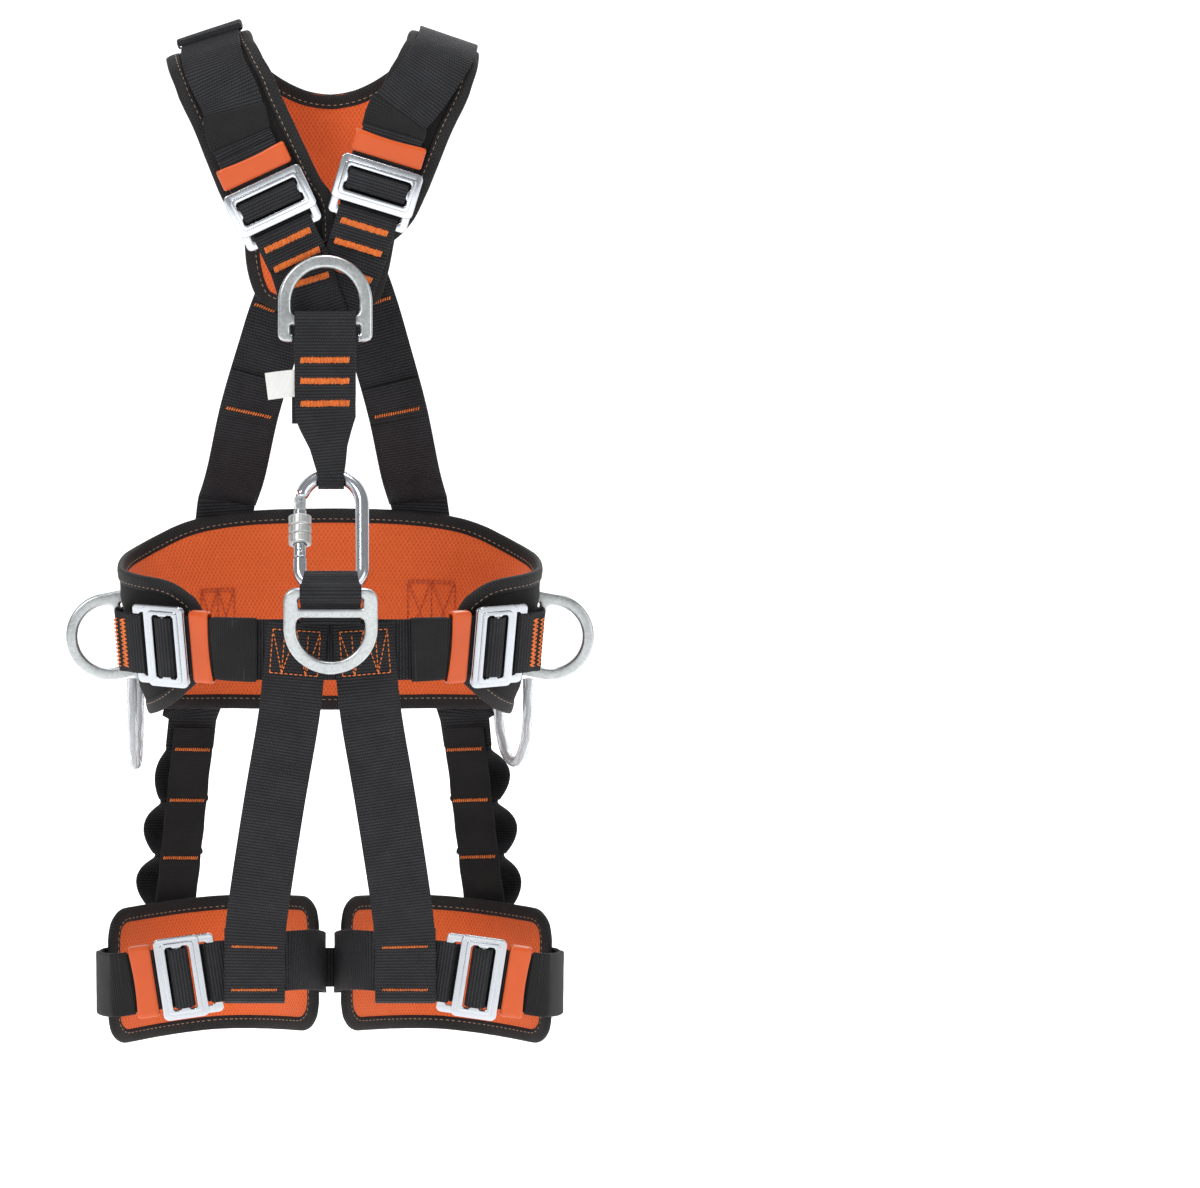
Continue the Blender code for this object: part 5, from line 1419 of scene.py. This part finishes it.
# ================================================================ connector
def connector():
    q_axis = (CONN_TOP - CONN_BOTTOM)
    length = q_axis.length
    q_axis.normalize()
    m_axis = X.cross(q_axis)
    half = CONN_W / 2

    def at(p, q, m=0.0):
        return CONN_BOTTOM + X * p + q_axis * q + m_axis * m

    line = []
    top_c = length - half
    shoulder = GATE_PIVOT_Q + 5.4
    line.append((-half, shoulder))
    for i in range(1, 40):
        ang = math.radians(180 - 180 * i / 40)
        if top_c + half * math.sin(ang) > shoulder + 0.6 or i > 20:
            line.append((half * math.cos(ang), top_c + half * math.sin(ang)))
    line += [(half, top_c - (top_c - CONN_LOW_R) * i / 6) for i in range(7)]
    for i in range(1, 12):
        ang = math.radians(-90 * i / 12)
        line.append((half - CONN_LOW_R + CONN_LOW_R * math.cos(ang), CONN_LOW_R + CONN_LOW_R * math.sin(ang)))
    line += [(half - CONN_LOW_R - (CONN_W - 2 * CONN_LOW_R) * i / 5, 0.0) for i in range(6)]
    for i in range(1, 12):
        ang = math.radians(-90 - 90 * i / 12)
        line.append((-half + CONN_LOW_R + CONN_LOW_R * math.cos(ang), CONN_LOW_R + CONN_LOW_R * math.sin(ang)))
    line += [(-half, CONN_LOW_R), (-half, GATE_END_Q - 2.2), (-half, GATE_END_Q - 0.9), (-half, GATE_END_Q - 0.6)]
    radii = [ROD_R] * len(line)
    radii[0] = ROD_R - 0.5
    radii[-1] = ROD_R - 0.9
    tube("metal_connector_body", [at(*v) for v in line], radii, BRIGHT, 24, replaces=("carabiner_body",))
    # tongue that the gate pivots on
    plate("metal_connector_tongue", rounded([(-3.2, GATE_PIVOT_Q - 4.4), (3.2, GATE_PIVOT_Q - 4.4), (3.2, shoulder + 0.4), (-3.2, shoulder + 0.4)], [3.0, 3.0, 0.4, 0.4]), [],
          at(-half, 0), X, q_axis, m_axis, -1.5, 1.5, 0.4, BRIGHT)
    # gate: round bar, forked at the pivot, drawn in at its closing end
    q0, q1 = GATE_END_Q, GATE_PIVOT_Q
    prof = [(q0, 3.9), (q0 + 0.5, 4.5), (q0 + 1.2, 4.6), (q1 - 7.5, 4.6)]
    tube("metal_gate", [at(-half, q) for q, _ in prof], [r for _, r in prof], BRIGHT, 28, body="carabiner_gate", replaces=("carabiner_gate",))
    for sgn in (1, -1):
        cheek = [(-4.3, q1 - 7.5), (4.3, q1 - 7.5)] + [(4.3 * math.cos(a), q1 + 4.3 * math.sin(a)) for a in [math.radians(180 * i / 16) for i in range(17)]]
        plate("metal_gate_cheek_" + ("front" if sgn > 0 else "back"), cheek, [], at(-half, 0), X, q_axis, m_axis, *sorted((sgn * 1.9, sgn * 4.4)), 0.8, ZINC, "carabiner_gate")
    # rivets: one at the pivot, one that latches at the nose
    for nm, q, r, body, rep in (("pivot", GATE_PIVOT_Q, 1.15, "harness", ("gate_pivot_pin",)), ("latch", GATE_END_Q + 5.0, 1.5, "carabiner_gate", ())):
        e = 0.0 if nm == "pivot" else 0.4
        prof = [(-5.3 + e, 0.5), (-5.2 + e, r * 0.95), (-4.75 + e, r * 1.25), (-4.3, r), (4.3, r), (4.75 - e, r * 1.25), (5.2 - e, r * 0.95), (5.3 - e, 0.5)]
        tube("metal_gate_" + nm + "_pin", [at(-half, q, m) for m, _ in prof], [rr for _, rr in prof], BRIGHT, 18, body=body, replaces=rep)
    # sleeve: three knurled bands between smooth grooves
    q0, q1 = SLEEVE_Q
    prof = []
    steps = 66
    k = 72
    verts = []
    for i in range(steps + 1):
        f = i / steps
        q = q0 + (q1 - q0) * f
        edge = min(f, 1 - f) * (q1 - q0)
        groove = max(math.exp(-((f - 0.345) / 0.022) ** 2), math.exp(-((f - 0.655) / 0.022) ** 2))
        r = 8.45 - 1.1 * groove - corner(edge, 0.9) * 0.9
        knurl = 0.42 * (1 - groove) * ease((edge - 0.8) / 0.6)
        for j in range(k):
            ang = math.tau * j / k
            verts.append((q, r - knurl * (0.5 + 0.5 * math.cos(ang * 24)), ang))
    pts = [at(-half + r * math.cos(a), q, r * math.sin(a)) for q, r, a in verts]
    for q in (q1, q0):
        pts += [at(-half + 5.2 * math.cos(math.tau * j / k), q, 5.2 * math.sin(math.tau * j / k)) for j in range(k)]
    make("metal_locking_sleeve", pts, loft_faces(steps + 3, k, True), MATTE, None, "locking_sleeve", ("locking_sleeve",), "zinc_steel", sharp=50)


connector()


# ================================================================ dorsal plate
def dorsal_plate():
    zb = 259.0
    o = Vector((0, 0, zb))
    outer = rounded([(33.5, 66), (47.7, 46), (47.0, 34), (16.5, 0), (-16.5, 0), (-47.0, 34), (-47.7, 46), (-33.5, 66)], [7, 8, 8, 7, 7, 8, 8, 7])
    window = rounded([(-27.0, 57), (-30.0, 50), (0, 19), (30.0, 50), (27.0, 57)], [3, 4, 3, 4, 3])
    slots = [rounded([(s * 40.5, 41.0), (s * 38.2, 42.8), (s * 13.0, 10.0), (s * 15.3, 8.2)], 1.2) for s in (-1, 1)]
    plate("moulded_dorsal_plate", outer, [window] + slots, o, X, Z, -Y, -55.4, -51.4, 1.1, MOULDED, replaces=("dorsal_plate",), slot="black_moulding")
    rim = rounded([(-27.0, 57), (-30.0, 50), (0, 19), (30.0, 50), (27.0, 57)], [3, 4, 3, 4, 3])
    big = rounded([(-29.6, 60), (-33.4, 50), (0, 14.6), (33.4, 50), (29.6, 60)], [4, 5, 4, 5, 4])
    plate("moulded_dorsal_rim", big, [rim], o, X, Z, -Y, -56.6, -54.6, 0.8, MOULDED, slot="black_moulding")


dorsal_plate()


# ================================================================ tool loops
def tool_loops():
    for side in (-1, 1):
        d0, d1 = (-7.0, 35.0) if side > 0 else (187.0, 164.0)
        p0, p1 = belt_pt(d0, -26.5, 9.4), belt_pt(d1, -26.5, 9.4)
        mid = (p0 + p1) / 2
        ctrl = [p0, p0 + Vector((0, 0, -22)), p0.lerp(p1, 0.06) + Vector((0, 0, -46)), p0.lerp(p1, 0.26) + Vector((0, 0, -64)),
                mid + Vector((0, 0, -69)), p0.lerp(p1, 0.74) + Vector((0, 0, -64)), p0.lerp(p1, 0.94) + Vector((0, 0, -46)),
                p1 + Vector((0, 0, -22)), p1]
        pts = spline(ctrl, 8)
        name = side_name(side) + "_tool_loop"
        across = Vector((p1.y - p0.y, -(p1.x - p0.x), 0)).normalized()
        k = 20
        verts = []
        frames = []
        for i, p in enumerate(pts):
            t = (pts[min(i + 1, len(pts) - 1)] - pts[max(i - 1, 0)]).normalized()
            w = (across - t * across.dot(t)).normalized()
            frames.append((p, w, t.cross(w)))
        for p, w, h in frames:
            verts += [p + (w * math.cos(math.tau * j / k) + h * math.sin(math.tau * j / k)) * 4.0 for j in range(k)]
        for p, w, h in reversed(frames):
            verts += [p + (w * math.cos(math.tau * j / k) + h * math.sin(math.tau * j / k)) * 3.0 for j in range(k)]
        make("tube_" + name, verts, loft_faces(2 * len(frames), k, True), TUBE, None, name, (name,), "clear_tube", sharp=60)
        inner = []
        for i, (p, w, h) in enumerate(frames):
            inner.append(p + w * (0.5 * math.sin(i * 0.9)) + h * (0.5 * math.cos(i * 0.7)))
        inner = inner[:1] + inner + inner[-1:]
        inner[0] = inner[1] + Vector((0, 0, 0.4))
        inner[-1] = inner[-2] + Vector((0, 0, 0.4))
        tube("cord_" + name, inner, 2.1, CORD, 12, body=name, slot="white_cord")


tool_loops()


# ================================================================ elastic bands, tags and doubled webbing
class Track(Strap):
    """Place of a surface only, with no webbing made."""

    def __init__(self, pts, wdir, thick=WEB_T):
        self.thick = thick
        self.rows = []
        s = 0.0
        for i, p in enumerate(pts):
            t = (pts[min(i + 1, len(pts) - 1)] - pts[max(i - 1, 0)]).normalized()
            w = (wdir - t * wdir.dot(t)).normalized()
            if i:
                s += (p - pts[i - 1]).length
            self.rows.append((p, t, w, t.cross(w), WEB_W / 2, s))


def nearest(strap, p):
    return min(range(len(strap.rows)), key=lambda i: (strap.rows[i][0] - p).length)


def along_from(strap, i, dist):
    """Row dist mm further along than row i."""
    want = strap.rows[i][5] + dist
    return min(range(len(strap.rows)), key=lambda j: abs(strap.rows[j][5] - want))


def sleeve(name, strap, i0, i1, half, lo, hi, toward, mat=None, puff=0.35, core=None):
    """Elastic tube round a strap between two of its rows; lo and hi are its faces on the side that faces toward."""
    i0, i1 = min(i0, i1), max(i0, i1)
    rows = strap.rows[i0:i1 + 1]
    k = 72
    outer = dense_loop(rrect(-half, half, lo, hi, min(1.5, (hi - lo) * 0.45), 5), k)
    inner = dense_loop(rrect(-half + 0.8, half - 0.8, lo + 0.3, core or hi - 0.5, 0.4, 5), k)
    mid = (lo + hi) / 2
    verts, uv = [], []
    first, last = rows[0][5], rows[-1][5]
    for p, t, w, h, _, s in rows:
        n = h if h.dot(toward) > 0 else -h
        grow = puff * ease(min(s - first, last - s) / 5.0) - 0.25
        for a, b in outer:
            ripple = 0.12 * noise.noise(Vector((s * 0.25, a * 0.12, 7.0)))
            verts.append(p + w * (a * (1 + grow * 0.012)) + n * (b + (grow + ripple) * (1 if b > mid else -0.3)))
            uv.append((s, a))
    for p, t, w, h, _, s in reversed(rows):
        n = h if h.dot(toward) > 0 else -h
        for a, b in inner:
            verts.append(p + w * a + n * b)
            uv.append((s, a))
    return make(name, verts, loft_faces(2 * len(rows), k, True), mat or ELASTIC, uv, "harness", (), "black_elastic" if mat is None else "black_webbing", sharp=60)


def elastics():
    for side in (-1, 1):
        nm = side_name(side)
        b = BUCKLES["chest", side]
        st = S[nm + "_shoulder_strap"]
        i0 = nearest(st, b.at(-48 if side < 0 else -38.5, -4.7))
        sleeve("band_" + nm + "_chest_elastic", st, i0, along_from(st, i0, 19.0), 23.7, -1.2, 1.9, -Y)
        b = BUCKLES["waist", side]
        st = S["front_belt"]
        sleeve("band_" + nm + "_waist_elastic", st, nearest(st, b.at(-37.2, -4.6)), nearest(st, Vector((side * (52 if side < 0 else 60), FRONT_BAND_Y + 0.7, 8))), 23.6, -1.5, 5.0, -Y)
        b = BUCKLES["leg", side]
        st = S[nm + "_leg_strap"]
        sleeve("band_" + nm + "_leg_elastic", st, nearest(st, b.at(-37.2, -4.6)), nearest(st, Vector((side * 173.2, -24.0, -255.5))), 23.8, -1.4, 2.6, Vector((side, -1, 0)))
    st = S["right_shoulder_strap"]
    i0 = nearest(st, shoulder(-88, -9.0, 469))
    sleeve("strap_shoulder_roll", st, i0, along_from(st, i0, 11.0), 25.0, -1.2, 5.4, Z, WEB, 0.9, 1.0)


def underlaps():
    """Inner end of the webbing sewn round each buckle frame, under the plate."""
    for b in BUCKLES.values():
        Strap("strap_" + b.prefix + "_underlap", [b.at(u, n) for u, n in ((8.6, -2.9), (13.0, -2.85), (18.0, -2.8), (24.0, -2.7))], b.w, width=44.0, thick=1.5, slack=0.0)


def tags():
    def tag(name, pts, wdir, width, thick=0.5):
        Strap(name, [Vector(q) for q in pts], wdir, width=width, thick=thick, mat=TAPE, slot="white_tape", slack=0.0, step=3.0)

    tag("tag_chest", ((-19.0, -76.1, 201.0), (-28.0, -76.3, 200.5), (-37.0, -77.0, 199.6), (-46.5, -78.2, 198.4)), Vector((0.09, 0, 1)), 20.0)
    tag("tag_back", ((28.0, 49.6, 345.0), (38.0, 50.6, 348.6), (50.0, 51.2, 353.0), (61.0, 51.8, 357.4)), Vector((-0.34, 0, 1)), 21.0)
    pts = []
    for i in range(15):
        deg = belt_deg_at_x(62.0 - 112.0 * i / 14, 0)
        pts.append(belt_pt(deg, band_z(belt_pt(deg, 0, 0).y), BAND_OFF + 1.4))
    tag("tag_belt", pts, Z, 38.0, 0.7)
    for side in (-1, 1):
        tr = TRACKS[side]
        i = tr.find(py, 421.0)
        p, t, w, h, _, _ = tr.rows[i]
        n = h if h.y > 0 else -h
        tag("tag_" + side_name(side) + "_rear_strip", [p + n * 1.25 + w * a for a in (-17.0, -8.0, 0.0, 8.0, 17.0)], t, 9.0, 0.4)
        lo, hi = tr.find(py, 375.0 if side < 0 else 379.0), tr.find(py, 414.0)
        lo, hi = min(lo, hi), max(lo, hi)
        Strap("strap_" + side_name(side) + "_rear_doubling", [r[0] + (r[3] if r[3].y < 0 else -r[3]) * 1.75 for r in tr.rows[lo:hi + 1]], X, width=44.6)
    a = STERNAL_AXIS
    Strap("strap_sternal_tail", [Vector((a.x - 4.0, a.y + y, a.z + z)) for y, z in ((1.4, -46), (1.6, -58), (2.2, -68), (3.2, -76))], X, width=41.0)


TRACKS = {side: Track(REAR[side][0], X) for side in (-1, 1)}
elastics()
underlaps()
tags()


# ================================================================ stitching
SEW, BOXES = Sewing(), Sewing()


def front_row(strap, value, toward, key=py, tol=3.0):
    rows = strap.rows
    near = [i for i in range(len(rows)) if abs(key(rows[i][0]) - value) < tol]
    if not near:
        return min(range(len(rows)), key=lambda i: abs(key(rows[i][0]) - value))
    best = max(rows[i][0].dot(toward) for i in near)
    return min((i for i in near if rows[i][0].dot(toward) > best - 0.8), key=lambda i: abs(key(rows[i][0]) - value))


def tack(strap, value, a0, a1, toward=-Y, width=5.0, key=py, pitch=1.05, r=0.5, lift=0.3, extra=0.0, slant=0.0):
    i = front_row(strap, value, toward, key)
    p0, n = strap.at(i, a0, toward, extra, slant)
    p1, _ = strap.at(i, a1, toward, extra, -slant)
    SEW.satin(p0, p1, n, width, pitch, r, lift)


def rope(strap, value, a0, a1, toward=-Y, key=py, extra=0.0):
    tack(strap, value, a0, a1, toward, 2.6, key, 1.75, 0.55, 0.35, extra)


def drawn(sew, place, corners, step=2.0, **kw):
    """Running stitch through flat corners carried onto a surface by place."""
    pts = []
    for (a, b), (c, d) in zip(corners, corners[1:]):
        m = max(1, int(math.hypot(c - a, d - b) / step))
        pts += [place(a + (c - a) * i / m, b + (d - b) * i / m) for i in range(m)]
    pts.append(place(*corners[-1]))
    sew.line(pts, **kw)


def box(sew, place, a0, a1, b0, b1, crosses=1, **kw):
    drawn(sew, place, [(a0, b0), (a1, b0), (a1, b1), (a0, b1), (a0, b0)], **kw)
    for i in range(crosses):
        c, d = a0 + (a1 - a0) * i / crosses, a0 + (a1 - a0) * (i + 1) / crosses
        drawn(sew, place, [(c, b0), (d, b1)], **kw)
        drawn(sew, place, [(c, b1), (d, b0)], **kw)
        if i:
            drawn(sew, place, [(c, b0), (c, b1)], **kw)


def stitching():
    for y in (251.0, 269.0, 288.5):
        tack(S["right_chest_strap"], y, -18.5, 18.5)
    for y in (238.5, 258.0, 277.5):
        tack(S["left_chest_strap"], y, -18.0, 18.0)
    for y in (364.0, 384.5, 406.0):
        tack(S["sternal"], y, -18.0, 18.0)
        tack(S["sternal"], y, -17.0, 17.0, Y)
    for side in (-1, 1):
        nm = side_name(side)
        tr = TRACKS[side]
        rope(tr, 408.0 if side < 0 else 406.0, -17.5, 17.5, -Y, extra=1.75)
        rope(tr, 408.0, -17.0, 17.0, Y)
        # where the rear strap leaves the yoke
        a0, a1 = (-19.5, -3.0) if side < 0 else (3.0, 19.0)
        rope(tr, 313.0 if side < 0 else 303.0, a0, a1, -Y)
        rope(tr, 266.0, -15.0, 15.0, Y, key=lambda p: p.z)
        rope(S[nm + "_shoulder_strap"], 398.0, -17.0, 17.0, Y, key=lambda p: p.z)
        # thigh straps
        st = S[nm + "_thigh_strap"]
        for y in (942.0, 983.5):
            tack(st, y, -17.0, 17.0, -Y, 2.0, pitch=1.15, r=0.36, lift=0.2)
        i0, i1 = front_row(st, 632.0, -Y), front_row(st, 675.0, -Y)

        def top(a, f, st=st, i0=i0, i1=i1):
            place = i0 + (i1 - i0) * f
            i = min(int(place), len(st.rows) - 2)
            p, n = st.at(i, a, -Y)
            q, m = st.at(i + 1, a, -Y)
            return p.lerp(q, place - i), n

        kw = dict(step=0.05, dash=2.3, gap=0.9, r=0.4, lift=0.15)
        for f in (0.0, 1.0):
            drawn(SEW, top, [(-17.5, f), (17.5, f)], step=2.0, dash=2.3, gap=0.9, r=0.4, lift=0.15)
        for a, b in ((-17.5, -17.5), (-17.5, -8.7), (-8.7, -8.7), (-8.7, 0.0), (0.0, 8.7), (8.7, 8.7), (8.7, 17.5), (17.5, 17.5)):
            up = (a, b) in ((-17.5, -8.7), (0.0, 8.7))
            drawn(SEW, top, [(a, 0.0 if up else 1.0), (b, 1.0 if up else 0.0)], **kw)
        # rear straps: rows that hold the waves to the elastic
        el = S[nm + "_elastic"]
        for y in (749.0, 804.0, 863.0):
            rope(el, y, -16.5, 16.5, -Y)
        _, waves, _, end, n, across = REAR[side]
        for g in (0, 1, 2, 3):
            p, t, w, h = waves[min(72, round(72 * (0.146 + 0.854 * g / 3)))]
            SEW.satin(p + w * -17 + n * 0.85, p + w * 17 + n * 0.85, n, 2.6, 1.75, 0.55, 0.35)
        face = end + n * 0.95
        box(SEW, lambda a, b: (face + across * a + Z * b, n), -15.5, 15.5, -21.0, -3.0, 2, dash=2.6, gap=1.0, r=0.4)
        # webbing round the leg pads
        for deg in (166.0, 160.0):
            q = [leg_pt(side, deg, h, LEG_STRAP_OFF + 0.85) for h in (-13.0, 13.0)]
            SEW.satin(q[0], q[1], (leg_pt(side, deg, 0, 1) - leg_pt(side, deg, 0, 0)).normalized(), 3.0, 1.3, 0.5, 0.3)
        # patches that hold the side rings
        st = S[nm + "_ring_loop"]
        out = belt_normal(side_ring_deg(side), 0)
        for s in (2.8, 7.4, 12.0, 16.4):
            for d in (s, st.length() - s):
                i = min(range(len(st.rows)), key=lambda j: abs(st.rows[j][5] - d))
                p0, m = st.at(i, -18.5, out)
                p1, _ = st.at(i, 18.5, out)
                SEW.zigzag(p0, p1, m, 3.9, 3.1, 0.45, 0.15)
        b = BUCKLES["waist", side]
        st = S["rear_belt"]
        for u in (42.0, 38.2, 34.4):
            i = nearest(st, b.at(u, 0.9))
            p0, m = st.at(i, -18.5, b.n)
            p1, _ = st.at(i, 18.5, b.n)
            SEW.zigzag(p0, p1, m, 3.4, 3.0, 0.45, 0.2)
        # belt: boxes through the pad, seen on both faces
        x0, x1, z1 = (-100.0, -74.0, 28.0) if side < 0 else (60.0, 97.0, 34.0)

        def lining(x, z):
            deg = belt_deg_at_x(x, z)
            return belt_pt(deg, z, -4.85), -belt_normal(deg, z)

        kw = dict(dash=2.6, gap=1.0, r=0.42, lift=0.3)
        box(BOXES, lining, x0, x1, -14.0, z1, 2, **kw)
        drawn(BOXES, lining, [(x0 + 2.2, z1 - 2.2), (x1 - 2.2, z1 - 2.2)], **kw)

        def band(x, z):
            deg = belt_deg_at_x(x, 0)
            up = belt_up(deg)
            return belt_pt(deg, band_z(belt_pt(deg, 0, 0).y), BAND_OFF + 0.9) + up * z, belt_normal(deg, 0)

        x0, x1 = (-118.0, -74.0) if side < 0 else (78.0, 123.0)
        box(SEW, band, x0, x1, -17.5, 17.5, 2, dash=2.8, gap=1.0, r=0.45)
        for x in (x0 + 2.6, x1 - 2.6):
            drawn(SEW, band, [(x, -17.5), (x, 17.5)], dash=2.8, gap=1.0, r=0.45)
    for z in (-106.0, -118.0, -130.0):
        tack(S["left_thigh_strap"], z, -14.0, 14.0, Y, 3.2, key=lambda p: p.z, pitch=1.2, slant=5.0)
    SEW.done("orange_stitching")
    BOXES.done("lining_stitching", BROWN)


stitching()
